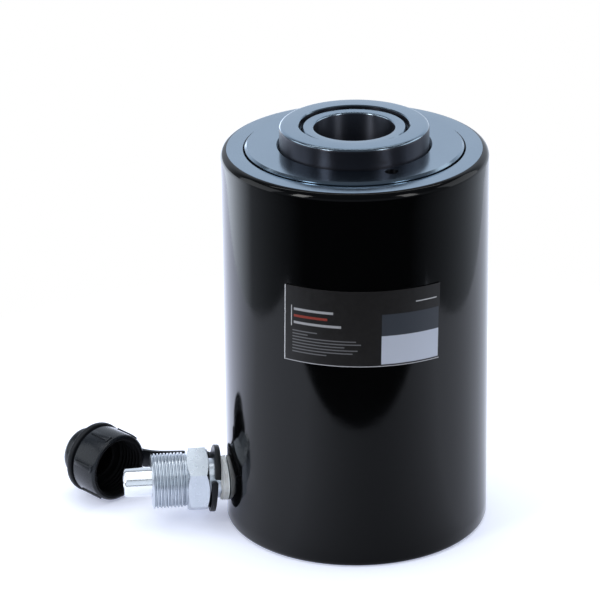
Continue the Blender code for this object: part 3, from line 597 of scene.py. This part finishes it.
def makeLabel(vinyl):
    size = labelSizes
    bpy.ops.mesh.primitive_grid_add(x_subdivisions=size["cells"][0], y_subdivisions=size["cells"][1], size=1)
    label = nameNew("label_plate_blank")
    label.scale = (size["width"], size["height"], 1)
    placePiece(label, (0, 0, 0), (pi / 2, radians(size["tilt"]), 0))
    useModifier(label, "SIMPLE_DEFORM", deform_method="BEND", deform_axis="Z",
                angle=size["width"] / size["radius"])
    useModifier(label, "SOLIDIFY", thickness=size["thick"], offset=0)
    turn = radians(size["angle"])
    place = (axisX + size["radius"] * cos(turn), size["radius"] * sin(turn), size["middle"])
    placePiece(label, place, (0, 0, turn + pi / 2))
    finishPiece(label, "cylinder", ["label_plate"], [vinyl])


# Coupler: pipe thread, neck, hexagon and outer thread

couplerSizes = {
    "flats": 0.026, "hexStart": 0.0652, "hexEnd": 0.0748, "face": 0.0899, "thread": 0.012, "root": 0.0113,
    "pitch": 0.0015, "hexFace": 0.0128, "crown": 0.0016, "room": 0.0006, "skin": 0.0002,
    "relief": (-0.0004, 0.0007, 0.0014), "lead": 0.0008, "stockEnds": (-0.003, 0.002), "steps": 96,
    "pipe": [(0.0083, 0.0463), (0.0087, 0.057), (0.0087, 0.0655)],
    "bore": [(0.003, 0.040), (0.003, 0.0716), (0.0062, 0.0716), (0.0062, 0.0836), (0.00665, 0.0836),
             (0.00665, 0.0862), (0.00885, 0.0862), (0.00885, 0.0881), (0.00665, 0.0881), (0.00665, 0.095)],
    "boreSteps": 64,
}
toothSizes = {"lead": 0.10, "flank": 0.24, "crest": 0.36, "root": 0.06, "weld": 0.00001, "steps": 72}


def makeThreadStock(radius, root, pitch, low, high):
    # one tooth, screwed up the axis, then cut square at both ends
    tooth = toothSizes
    turns = int((high - low) / pitch) + 3
    depth = radius - root
    shares = ((0, "lead"), (depth, "flank"), (0, "crest"), (-depth, "flank"), (0, "root"))
    moves = [(outward, 0, pitch * tooth[share]) for outward, share in shares]
    stock = pullLine("threadStock", (root, 0, low - 1.5 * pitch), moves)
    leaveEdit()
    useModifier(stock, "SCREW", angle=2 * pi, screw_offset=pitch, iterations=turns, steps=tooth["steps"],
                render_steps=tooth["steps"], use_merge_vertices=True, merge_threshold=tooth["weld"],
                use_smooth_shade=True)
    for level, upper in ((low, False), (high, True)):
        editAll(stock)
        bpy.ops.mesh.remove_doubles(threshold=tooth["weld"])
        bpy.ops.mesh.select_all(action="SELECT")
        bpy.ops.mesh.bisect(plane_co=(0, 0, level), plane_no=(0, 0, 1), use_fill=True,
                            clear_inner=not upper, clear_outer=upper)
        leaveEdit()
    faceOutward(stock)
    return stock


def makeCoupler(zinc):
    size = couplerSizes
    hexStart, hexEnd, face, steps = take(size, "hexStart hexEnd face steps")
    hexFace, crown, room, root, skin = take(size, "hexFace crown room root skin")
    crest = size["thread"] + skin
    corner = size["flats"] / 2 / cos(pi / 6)
    bpy.ops.mesh.primitive_cylinder_add(vertices=6, radius=corner, depth=hexEnd - hexStart)
    hexagon = nameNew("coupler_half")
    placePiece(hexagon, (0, 0, (hexStart + hexEnd) / 2), (0, 0, pi / 2))
    turned = turnRings("hexTurning", steps, [
        (hexFace, hexStart), (corner + room, hexStart + crown),
        (corner + room, hexEnd - crown), (hexFace, hexEnd)], filled=True)
    boolean(hexagon, turned, "INTERSECT")
    sink, groove, rise = size["relief"]
    blank = turnRings("threadBlank", steps, [
        (root, hexEnd + sink), (root, hexEnd + groove), (crest, hexEnd + rise),
        (crest, face - size["lead"]), (root + 0.0001, face)], filled=True)
    before, after = size["stockEnds"]
    stock = makeThreadStock(size["thread"], root - skin, size["pitch"], hexEnd + before, face + after)
    boolean(stock, blank, "INTERSECT")
    boolean(hexagon, stock, "UNION")
    boolean(hexagon, turnRings("pipeEnd", steps, size["pipe"], filled=True), "UNION")
    boolean(hexagon, turnRings("probeBore", size["boreSteps"], size["bore"], filled=True), "DIFFERENCE")
    placePiece(hexagon, couplerPlace, couplerTurn)
    return finishPiece(hexagon, "cylinder", ["coupler_body"], [zinc], 28)


probeSizes = {
    "radius": 0.00635, "tip": 0.1021, "rounding": 0.0011, "start": 0.0719, "stem": 0.0059, "shoulder": 0.0839,
    "bore": 0.003, "edge": 0.0004, "lip": 0.0016, "cone": 0.0036, "valve": 0.0044, "valveStart": 0.0759,
    "steps": 96,
}


def makeProbe(chrome):
    size = probeSizes
    tip, radius, rounding, bore, edge = take(size, "tip radius rounding bore edge")
    start, stem, shoulder, valve, valveStart = take(size, "start stem shoulder valve valveStart")
    rings = [(bore, start), (stem, start), (stem, shoulder), (radius, shoulder), (radius, tip - rounding)]
    rings += arcRings(radius - rounding, tip - rounding, rounding, 15, 90, 5)
    rings += [(bore + edge, tip), (bore, tip - edge), (bore, tip - size["lip"]), (valve, tip - size["cone"])]
    rings += [(valve, valveStart), (bore, valveStart)]
    probe = turnRings("probe_tube", size["steps"], rings)
    placePiece(probe, couplerPlace, couplerTurn)
    return finishPiece(probe, "cylinder", ["coupler_probe"], [chrome])


ballSizes = {"radius": 0.0036, "rounds": 5}


def makeBall(steel):
    size = ballSizes
    low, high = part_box("check_ball")
    bpy.ops.mesh.primitive_ico_sphere_add(subdivisions=size["rounds"], radius=size["radius"],
                                          location=(low + high) / 2)
    ball = nameNew("check_valve_ball")
    finishPiece(ball, "check_ball", ["check_ball"], [steel], 60)


# Springs, coiled to fill their parts' boxes, each with a mesh of its own

springSizes = {
    "return_spring": {"wire": 0.0036, "turns": 6, "axis": (0, 0, 1), "joint": "plunger_stroke"},
    "check_spring": {"wire": 0.00045, "turns": 5, "axis": (1, 0, 0), "joint": "check_lift"},
}


def makeSpring(node, name, steel):
    size = springSizes[node]
    wire, turns = size["wire"], size["turns"]
    sides, steps = 12, 28
    low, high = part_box(node)
    upright = size["axis"][2] == 1
    length = high.z - low.z if upright else high.x - low.x
    radius = (high.y - low.y) / 2 - wire
    bpy.ops.mesh.primitive_circle_add(vertices=sides, radius=wire)
    spring = nameNew(name)
    placePiece(spring, (radius, 0, wire), (pi / 2, 0, 0))
    useModifier(spring, "SCREW", angle=2 * pi, screw_offset=(length - 2 * wire) / turns, iterations=turns,
                steps=steps, render_steps=steps, use_merge_vertices=True, merge_threshold=weldDistance)
    closeEnds(spring, sides)
    middle = (low + high) / 2
    if upright:
        placePiece(spring, (middle.x, middle.y, low.z))
    else:
        placePiece(spring, (low.x, middle.y, middle.z), (0, pi / 2, 0))
    finishPiece(spring, "cylinder", [node], [steel], 60)
    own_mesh(spring)


# Sealing tape, wound unevenly on the pipe thread

tapeSizes = {
    "inner": 0.009, "start": 0.0547, "startRadius": 0.00975, "outer": 0.00983, "unevenness": 0.00012,
    "taper": 0.00002, "wraps": 12, "wrapStart": 0.0553, "wrapPitch": 0.00036, "end": 0.0602,
    "endRadius": 0.0094, "frayStart": 0.0590, "fray": (0.00022, 0.00012), "bodyRadius": 0.0573, "steps": 72,
}


def makeTape(tapeMaterial):
    size = tapeSizes
    inner, start, end = take(size, "inner start end")
    outline = [(inner, start), (size["startRadius"], start)]
    for step in range(1, size["wraps"] + 1):
        radius = size["outer"] + size["unevenness"] * sin(step * 2.4) - size["taper"] * step
        outline.append((radius, size["wrapStart"] + step * size["wrapPitch"]))
    outline += [(size["endRadius"], end), (inner, end)]
    tape = turnRings("pipe_tape", size["steps"], outline)
    wide, fine = size["fray"]
    for vertex in tape.data.vertices:  # the edge of the last wraps wanders a little
        turn = Vector((vertex.co.x, vertex.co.y)).angle_signed(Vector((1, 0)), 0)
        if vertex.co.z > size["frayStart"]:
            vertex.co.z += wide * sin(turn * 5 + 1) + fine * sin(turn * 11)
    placePiece(tape, couplerPlace, couplerTurn)
    shell = turnRings("bodySide", 96, [(size["bodyRadius"], -0.01), (size["bodyRadius"], 0.05)], filled=True)
    boolean(tape, placePiece(shell, axisPlace), "DIFFERENCE")
    return finishPiece(tape, "cylinder", ["thread_tape"], [tapeMaterial])


# Strap: split ring, band and the cap's ring

capJoint = next(joint for joint in frame["joints"] if joint["name"] == "cap_spin")
capPlace = Vector(capJoint["pos_m"])
capWay = Vector(capJoint["axis"])
capTurn = (0, pi / 2 - asin(capWay.z), atan2(capWay.y, capWay.x))  # turns +z to the cap's axis
strapSizes = {
    "inner": 0.0091, "outer": 0.01465, "thick": 0.0024, "twist": 0.0011, "split": 289, "opening": 5,
    "place": 0.0626, "lean": 5, "edge": 0.00045, "ringSteps": 72, "bandHeight": 0.0083, "bandThick": 0.0018,
    "bandEdge": 0.0003, "bend": 0.0032, "bendTurn": 72, "bendSteps": 10, "runSteps": 32, "capRing": 0.0159,
    "capNeck": 0.0092, "capRingThick": 0.0025, "capRingEdge": 0.0007, "drop": 0.0042,
}


def makeNeckRing():
    size = strapSizes
    inner, outer, steps = take(size, "inner outer ringSteps")
    bpy.ops.mesh.primitive_plane_add(size=1)
    ring = nameNew("cap_tether")
    ring.scale = (outer - inner, size["thick"], 1)
    placePiece(ring, ((outer + inner) / 2, 0, 0), (pi / 2, 0, 0))
    editAll(ring)
    bpy.ops.mesh.delete(type="ONLY_FACE")
    leaveEdit()
    useModifier(ring, "SCREW", angle=radians(360 - size["opening"]), screw_offset=size["twist"], steps=steps,
                render_steps=steps)
    closeEnds(ring, 4)
    placePiece(ring, (0, 0, -size["twist"] / 2), (0, 0, radians(size["split"] + size["opening"] / 2)))
    placePiece(ring, (0, 0, 0), (0, radians(size["lean"]), 0))
    roundEdges(ring, size["edge"], 3)
    return placePiece(ring, (axisX - size["place"], 0, couplerHeight), couplerTurn)


def bandRoute():
    # out of the neck ring, round a bend, along a free curve and round a bend into the cap's ring
    size = strapSizes
    bend, thick, drop, bendSteps, runSteps = take(size, "bend bandThick drop bendSteps runSteps")
    side = Vector((-capWay.y, capWay.x, 0)).normalized()
    forward = Vector((capWay.x, capWay.y, 0)).normalized()
    neck = Vector((axisX - size["place"], 0, couplerHeight))
    leave = size["outer"] + thick / 2
    points = [neck + Vector((0, (size["inner"] + size["outer"]) / 2, 0)), neck + Vector((0, leave, 0))]

    def turnAbout(centre, start, turn):
        for step in range(1, bendSteps + 1):
            angle = start + turn * step / bendSteps
            points.append(centre + Vector((bend * cos(angle), bend * sin(angle), 0)))

    turnAbout(neck + Vector((-bend, leave, 0)), 0, radians(size["bendTurn"]))
    heading = pi / 2 + radians(size["bendTurn"])
    start = points[-1].copy()
    startWay = Vector((cos(heading), sin(heading), 0))
    low = capPlace - Vector((0, 0, drop))
    chord = sqrt(size["capRing"] ** 2 - drop ** 2)
    level = low + side * (chord + thick / 2)
    end = level + side * bend + forward * bend
    reach = (end - start).length / 3
    for step in range(1, runSteps + 1):
        t = step / runSteps
        point = start * (1 - t) ** 3 + (start + startWay * reach) * (3 * t * (1 - t) ** 2)
        points.append(point + (end + forward * reach) * (3 * t * t * (1 - t)) + end * t**3)
    turnAbout(level + forward * bend, atan2(side.y, side.x), pi / 2)
    points.append(low + side * ((size["capNeck"] + chord) / 2))
    return points


def makeBand():
    size = strapSizes
    points = bandRoute()
    rise = Vector((0, 0, size["bandHeight"]))
    moves = [after - before for before, after in zip(points, points[1:])]
    band = pullLine("strapBand", points[0] - rise / 2, moves)
    bpy.ops.mesh.select_all(action="SELECT")
    bpy.ops.mesh.extrude_region_move(TRANSFORM_OT_translate={"value": rise})
    leaveEdit()
    useModifier(band, "SOLIDIFY", thickness=size["bandThick"], offset=0, use_even_offset=True)
    faceOutward(band)
    return roundEdges(band, size["bandEdge"], 2, 50)


def makeStrap(plastic):
    size = strapSizes
    ring = makeNeckRing()
    boolean(ring, makeBand(), "UNION")
    half, edge, neck = size["capRingThick"] / 2, size["capRingEdge"], size["capNeck"]
    outer = size["capRing"] - edge
    rings = [(neck, -half), (outer, -half)]
    rings += arcRings(outer, -half + edge, edge, -90, 0, 3)[1:] + arcRings(outer, half - edge, edge, 0, 90, 3)
    farRing = turnRings("farRing", 96, rings + [(neck, half)])
    boolean(ring, placePiece(farRing, capPlace, capTurn), "UNION")
    return finishPiece(ring, "strap", ["cap_strap"], [plastic], 40)


# Dust cap

capSizes = {
    "neckHalf": 0.00155, "radius": 0.0152, "length": 0.0142, "wall": 0.0027, "floor": 0.0018, "neck": 0.0089,
    "room": 0.0075, "knob": 0.0114, "knobLength": 0.00835, "rounding": 0.0032, "knobFloor": 0.002,
    "middle": 0.0030, "edge": 0.0005, "shoulder": 0.0016, "shoulderRounding": 0.0014, "lip": 0.0011,
    "mouthStep": (0.0001, 0.0006), "threadTop": 0.0016, "floorFillet": (0.0008, 0.0026), "steps": 96,
    "thread": {"depth": -0.0005, "pitch": -0.0020, "width": -0.0012, "turns": 5},
    "ribs": 6, "ribStart": 16, "ribSunk": 0.0009, "ribEdge": 0.00025, "ribEnds": (0.0021, 0.0020),
    "rib": {"height": 0.0007, "width": 0.0022}, "tab": {"height": 0.0006, "width": 0.0034},
    "tabEnds": (0.0003, 0.0008), "shadeWall": 0.0012, "shadeDepth": 0.0064, "shadeRoom": 0.0078,
}


def makeCap(plastic, inside):
    size = capSizes
    neckHalf, radius, neck, knob, room = take(size, "neckHalf radius neck knob room")
    rounding, edge, middle, lip, shoulder = take(size, "rounding edge middle lip shoulderRounding")
    mouth = neckHalf + size["length"]
    low = -neckHalf - size["knobLength"]
    rings = [(middle, low), (knob - rounding, low)]
    rings += arcRings(knob - rounding, low + rounding, rounding, -90, 0, 7)[1:]
    rings += [(knob, -neckHalf - edge), (knob - edge, -neckHalf)]
    rings += [(neck, -neckHalf), (neck, neckHalf), (radius - size["shoulder"], neckHalf)]
    rings += arcRings(radius - shoulder, neckHalf + shoulder, shoulder, -75, 0, 4)
    rings += arcRings(radius - lip, mouth - lip, lip, 0, 90, 5)
    inner, floor = radius - size["wall"], neckHalf + size["floor"]
    step, drop = size["mouthStep"]
    rings += [(inner + step + drop, mouth), (inner + step, mouth - drop)]
    rings += threadRings(inner, mouth - size["threadTop"], **size["thread"])
    inset, rise = size["floorFillet"]
    rings += [(inner, neckHalf + rise), (inner - inset, floor), (room + edge, floor), (room, floor - edge)]
    rings += [(room, low + size["knobFloor"]), (middle, low + size["knobFloor"])]
    cap = turnRings("dust_cap_shell", size["steps"], rings, filled=True)
    ribLow, ribHigh = neckHalf + size["ribEnds"][0], mouth - size["ribEnds"][1]
    tabLow, tabHigh = ribHigh - size["tabEnds"][0], ribHigh + size["tabEnds"][1]
    for rib in range(size["ribs"]):
        turn = radians(size["ribStart"] + 360 * rib / size["ribs"])
        boolean(cap, makeRibBar(turn, ribLow, ribHigh, **size["rib"]), "UNION")
        boolean(cap, makeRibBar(turn, tabLow, tabHigh, **size["tab"]), "UNION")
    placePiece(cap, capPlace, capTurn)
    finishPiece(cap, "cap", ["dust_cap"], [plastic, inside], 30)
    # painted shade: the cap's hollow and the pocket in its knob take a near black, dull copy of the plastic
    paintFaces(cap, 1, lambda centre, normal: inCapShade(centre - capPlace))
    return cap


def inCapShade(offset):
    # faces in the hollow and the knob's pocket, which take the painted shade
    size = capSizes
    along = offset.dot(capWay)
    out = (offset - capWay * along).length
    inHollow = along > size["neckHalf"] and out < size["radius"] - size["wall"] + size["shadeWall"]
    return inHollow or (along > -size["neckHalf"] - size["shadeDepth"] and out < size["shadeRoom"])


def makeRibBar(turn, low, high, height, width):
    size = capSizes
    inner, outer = size["radius"] - size["ribSunk"], size["radius"] + height
    bpy.ops.mesh.primitive_cube_add(size=1)
    bar = nameNew("ribBar")
    bar.scale = (outer - inner, width, high - low)
    placePiece(bar, ((inner + outer) / 2, 0, (low + high) / 2))
    roundEdges(bar, size["ribEdge"])
    return placePiece(bar, (0, 0, 0), (0, 0, turn))


# Floor, world and lamps

sheetSizes = {"side": 0.30, "front": -0.195, "back": 1.1, "below": 0.0002, "turn": -4.5}
# a spread is the two values that it gives, and where on its scale it starts and ends
sheetLight = {
    "lift": 0.42, "behindLeft": (-0.57, 0.82, 0), "glow": (0.42, 1.7, 0.60, 0.90),
    "inFront": (0.12, -0.993, 0), "dim": (0, 0.60, 0.62, 1), "fadeOut": (0, 1, 0.17, 0.28),
}


def makeFloor():
    # a white sheet, which fades to plain white for the camera; mirrored in the pieces, it is
    # brightest behind at the left and dimmest in front
    size, light = sheetSizes, sheetLight
    bpy.ops.mesh.primitive_plane_add(size=1)
    floor = nameNew("studio_floor")
    floor.scale = (2 * size["side"], size["back"] - size["front"], 1)
    placePiece(floor, (axisX, (size["back"] + size["front"]) / 2, -size["below"]))
    placePiece(floor, (0, 0, 0), (0, 0, radians(size["turn"])))
    material, shader = startMaterial("whiteSheet", Roughness=0.9, Specular_IOR_Level=0.0,
                                     Base_Color=(0.86, 0.87, 0.90, 1), Emission_Color=(0.62, 0.66, 0.86, 1))
    path = addNode(material, "LightPath")
    seen, mirrored = path.outputs["Is Camera Ray"], path.outputs["Is Glossy Ray"]
    way = addNode(material, "VectorMath", {"operation": "NORMALIZE"},
                  i0=objectPlace(material, axisPlace, (1, 1, 0))).outputs[0]
    glow = spread(material, alongWay(material, way, light["behindLeft"]), *light["glow"])
    reflected = mathOf(material, "MULTIPLY", mirrored, glow)
    joinTo(material, mathOf(material, "MULTIPLY_ADD", seen, light["lift"], reflected),
           shader.inputs["Emission Strength"])
    near = spread(material, alongWay(material, way, light["inFront"]), *light["dim"])
    dark = addNode(material, "Emission", Color=(0, 0, 0, 1), Strength=0.0).outputs[0]
    sheet = mixShaders(material, mathOf(material, "MULTIPLY", mirrored, near), shader.outputs[0], dark)
    edge = spread(material, distanceFrom(material, axisPlace), *light["fadeOut"])
    white = addNode(material, "Emission", Color=(1, 1, 1, 1), Strength=1.0).outputs[0]
    faded = mixShaders(material, mathOf(material, "MULTIPLY", seen, edge), sheet, white)
    joinTo(material, faded, material.node_tree.nodes["Material Output"].inputs["Surface"])
    floor.data.materials.append(material)


roomLight = {
    "tint": (0.80, 0.88, 1.0, 1), "frontWay": (-0.09, -0.98, 0.10), "soft": (0.95, 0, 0.30, 0.85),
    "backWay": (0.09, 0.98, 0), "back": (0.14, 0.98, 0.45, 0.74), "walls": (0.32, 0, 0.35, 0.65),
    "side": (1.2, 0.02, -0.75, 0.60), "glowWay": (-0.57, 0.82, 0), "glow": (0, 2.4, 0.72, 0.92),
    "horizon": (0, 1, -0.04, 0.04),
}


def makeWorld():
    # white for the camera; the gloss sees a bright back, low walls and a bright table, but a dark front
    light = roomLight
    world = bpy.data.worlds.new("studioRoom")
    bpy.context.scene.world = world
    world.use_nodes = True
    background = world.node_tree.nodes["Background"]
    output = world.node_tree.nodes["World Output"]
    rays = addNode(world, "LightPath").outputs
    way = addNode(world, "TexCoord").outputs["Generated"]
    front = alongWay(world, way, light["frontWay"])
    high = addNode(world, "SeparateXYZ", i0=way).outputs["Z"]
    soft = spread(world, front, *light["soft"])
    back = spread(world, alongWay(world, way, light["backWay"]), *light["back"])
    shown = mathOf(world, "MAXIMUM", back, spread(world, high, *light["walls"]))
    room = mixNumbers(world, rays["Is Glossy Ray"], soft, shown)
    side = spread(world, front, *light["side"])
    glow = spread(world, alongWay(world, way, light["glowWay"]), *light["glow"])
    table = mathOf(world, "MULTIPLY", mathOf(world, "ADD", side, glow), rays["Is Glossy Ray"])
    strength = mixNumbers(world, spread(world, high, *light["horizon"]), table, room)
    background.inputs["Color"].default_value = light["tint"]
    joinTo(world, strength, background.inputs["Strength"])
    white = addNode(world, "Background", Color=(1, 1, 1, 1), Strength=1.0).outputs[0]
    choose = mixShaders(world, rays["Is Camera Ray"], background.outputs[0], white)
    joinTo(world, choose, output.inputs["Surface"])


# a lamp that isn't mirrored lights the pieces but leaves no shine on them
lampSizes = {
    "topBox": {"place": (0.05, 0.40, 1.35), "aim": (0.02, 0.0, 0.05), "size": (2.0, 1.7), "power": 7.0,
               "colour": (0.95, 0.97, 1.0), "mirrored": False},
    "leftBox": {"place": (-1.30, 0.15, 0.60), "size": (1.0, 1.0), "power": 4.5, "colour": (0.90, 0.95, 1.0)},
    "rightBox": {"place": (1.35, 0.15, 0.60), "size": (1.0, 1.0), "power": 4.0, "colour": (0.90, 0.95, 1.0)},
    "overStrip": {"place": (0.0, 0.42, 1.60), "aim": (0, 0, 0.17), "size": (2.2, 0.10), "power": 2.5},
    "frontStrip": {"place": (-0.10, -1.60, 1.02), "size": (1.2, 0.16), "power": 3.0, "mirrored": False},
    "leftFrontBox": {"place": (-1.29, -0.95, 1.05), "aim": (0, 0, 0.10), "size": (0.36, 0.95), "power": 8.0},
    "rightFrontBox": {"place": (1.08, -1.18, 1.05), "aim": (0, 0, 0.10), "size": (0.36, 0.95), "power": 5.0},
}
cardSizes = {
    "couplerCard": {"place": (-0.03, -0.27, 0.95), "aim": (-0.03, -0.2699, 0), "size": (1.6, 1.45),
                    "power": 9.5, "colour": (0.88, 0.94, 1.0)},
    "couplerLowCard": {"place": (-0.10, -1.25, 0.42), "aim": (-0.10, 0, 0.02), "size": (1.6, 0.9),
                       "power": 3.2, "colour": (0.80, 0.90, 1.0)},
}


def makeLamp(name, place, size, power, aim=(0, 0, 0.08), colour=(1, 1, 1), mirrored=True):
    data = bpy.data.lights.new(name, "AREA")
    data.shape = "RECTANGLE"
    data.size, data.size_y = size
    data.energy = power
    data.color = colour
    lamp = bpy.data.objects.new(name, data)
    lamp.location = place
    lamp.rotation_euler = (Vector(place) - Vector(aim)).to_track_quat("Z", "Y").to_euler()
    lamp.visible_glossy = mirrored
    bpy.context.scene.collection.objects.link(lamp)
    return lamp


def makeLights():
    makeWorld()
    for name, lamp in lampSizes.items():
        makeLamp(name, **lamp)


def makeCards(pieces):
    # cards over the coupler and before it, which light only these pieces
    lit = bpy.data.collections.new("couplerCardPieces")
    for piece in pieces:
        lit.objects.link(piece)
    for name, card in cardSizes.items():
        makeLamp(name, **card).light_linking.receiver_collection = lit


# The whole scene

makeCamera()
makeLights()
makeFloor()
print("stage done")

bodyPaint = makeBodyPaint()
# painted reflection: the top faces' steel is a light bluish grey that stands in for the bright back mirrored
# in them
paintedSheenSteel = makeSatinSteel("blackedSteelPaintedSheen", (0.255, 0.330, 0.405), (0.300, 0.385, 0.465), roughness=0.17)
rodSteel = makeRodSteel("blackedRodSteel", (0.042, 0.044, 0.054), (0.062, 0.063, 0.077), roughness=0.36)
# painted light: a lighter copy of the rod steel, so that the saddle's bore looks lit
saddleLitSteel = makeRodSteel("saddleBorePaintedLightSteel", (0.085, 0.092, 0.115), (0.125, 0.135, 0.165), roughness=0.34)
# painted shade: a darker copy of the rod steel for the body's inner walls and the gland's spanner holes
recessShadeSteel = makeRodSteel("paintedShadeBoreSteel", (0.020, 0.022, 0.026), (0.030, 0.032, 0.038), roughness=0.40)
# painted light: the centre tube is a much lighter copy of the rod steel, standing in for light down the bore,
# with a brownish oil tint
oiledLitTubeSteel = makeRodSteel("oiledTubePaintedLightSteel", (0.150, 0.115, 0.105), (0.210, 0.165, 0.150), roughness=0.40,
                         metallic=0.8)
zinc = makeMetal("zincPlate", (0.51, 0.55, 0.60), (0.58, 0.62, 0.67), roughness=0.30, variation=0.04,
                 mottle=200, bump=0.000001)
chrome = makeMetal("brightProbeSteel", (0.78, 0.80, 0.83), (0.86, 0.88, 0.91), roughness=0.14, variation=0.04)
ballSteel = makeMetal("ballSteel", (0.55, 0.56, 0.58), (0.66, 0.67, 0.69), roughness=0.12, variation=0.03)
springSteel = makeMetal("oiledSpringSteel", (0.09, 0.09, 0.10), (0.15, 0.15, 0.16), roughness=0.38,
                        mottle=500)
bronze = makeMetal("guideBronze", (0.38, 0.22, 0.09), (0.52, 0.33, 0.14), roughness=0.36, mottle=400)
rubber = makePlain("sealRubber", (0.012, 0.012, 0.013), (0.020, 0.020, 0.021), roughness=0.62)
sealPlastic = makePlain("bluePolyurethane", (0.05, 0.12, 0.33), (0.09, 0.17, 0.40), roughness=0.42)
ivoryNylon = makePlain("ivoryNylon", (0.66, 0.61, 0.50), (0.76, 0.71, 0.60), roughness=0.45)
strapPlastic = makePlain("strapPlastic", (0.005, 0.0055, 0.007), (0.009, 0.010, 0.012), roughness=0.40,
                         grain=900, Specular_IOR_Level=0.17)
capPlastic = makePlain("capPlastic", (0.005, 0.006, 0.008), (0.009, 0.011, 0.014), roughness=0.24,
                       grain=800, Specular_IOR_Level=0.27)
# painted shade: a near black, dull copy of the cap plastic for its hollow
capPaintedShade = makePlain("capPaintedShade", (0.0010, 0.0010, 0.0011), (0.0016, 0.0016, 0.0018), roughness=0.60,
                      grain=800, Specular_IOR_Level=0.08)
tapeMaterial = makeTapeMaterial()
labelVinyl = makeLabelMaterial()
print("materials done")

makeBody(bodyPaint, paintedSheenSteel, recessShadeSteel)
makeGland(paintedSheenSteel, recessShadeSteel)
makePlunger(paintedSheenSteel, rodSteel)
makeSaddle(paintedSheenSteel, saddleLitSteel)
makeTube(oiledLitTubeSteel)
makeLabel(labelVinyl)
couplerPieces = [
    makeCoupler(zinc), makeProbe(chrome), makeTape(tapeMaterial), makeStrap(strapPlastic),
    makeCap(capPlastic, capPaintedShade),
]
makeBall(ballSteel)
makeSpring("return_spring", "return_coil", springSteel)
makeSpring("check_spring", "check_valve_coil", springSteel)
makeCards(couplerPieces)

keptNodes = {
    "rod_wiper": rubber, "rod_bearing": bronze, "tube_o_ring": rubber, "tube_backup_ring": ivoryNylon,
    "piston_seal": sealPlastic, "piston_backup_ring": ivoryNylon,
    "piston_wear_ring": bronze, "tube_seal": sealPlastic, "tube_wear_ring": bronze, "probe_seal": rubber,
}
for nodeName, material in keptNodes.items():
    nodeObject = frame["nodes"][nodeName]
    for slotIndex in range(len(nodeObject.material_slots)):
        nodeObject.material_slots[slotIndex].material = material
print("kept nodes done")

bpy.context.scene.view_settings.view_transform = "Standard"
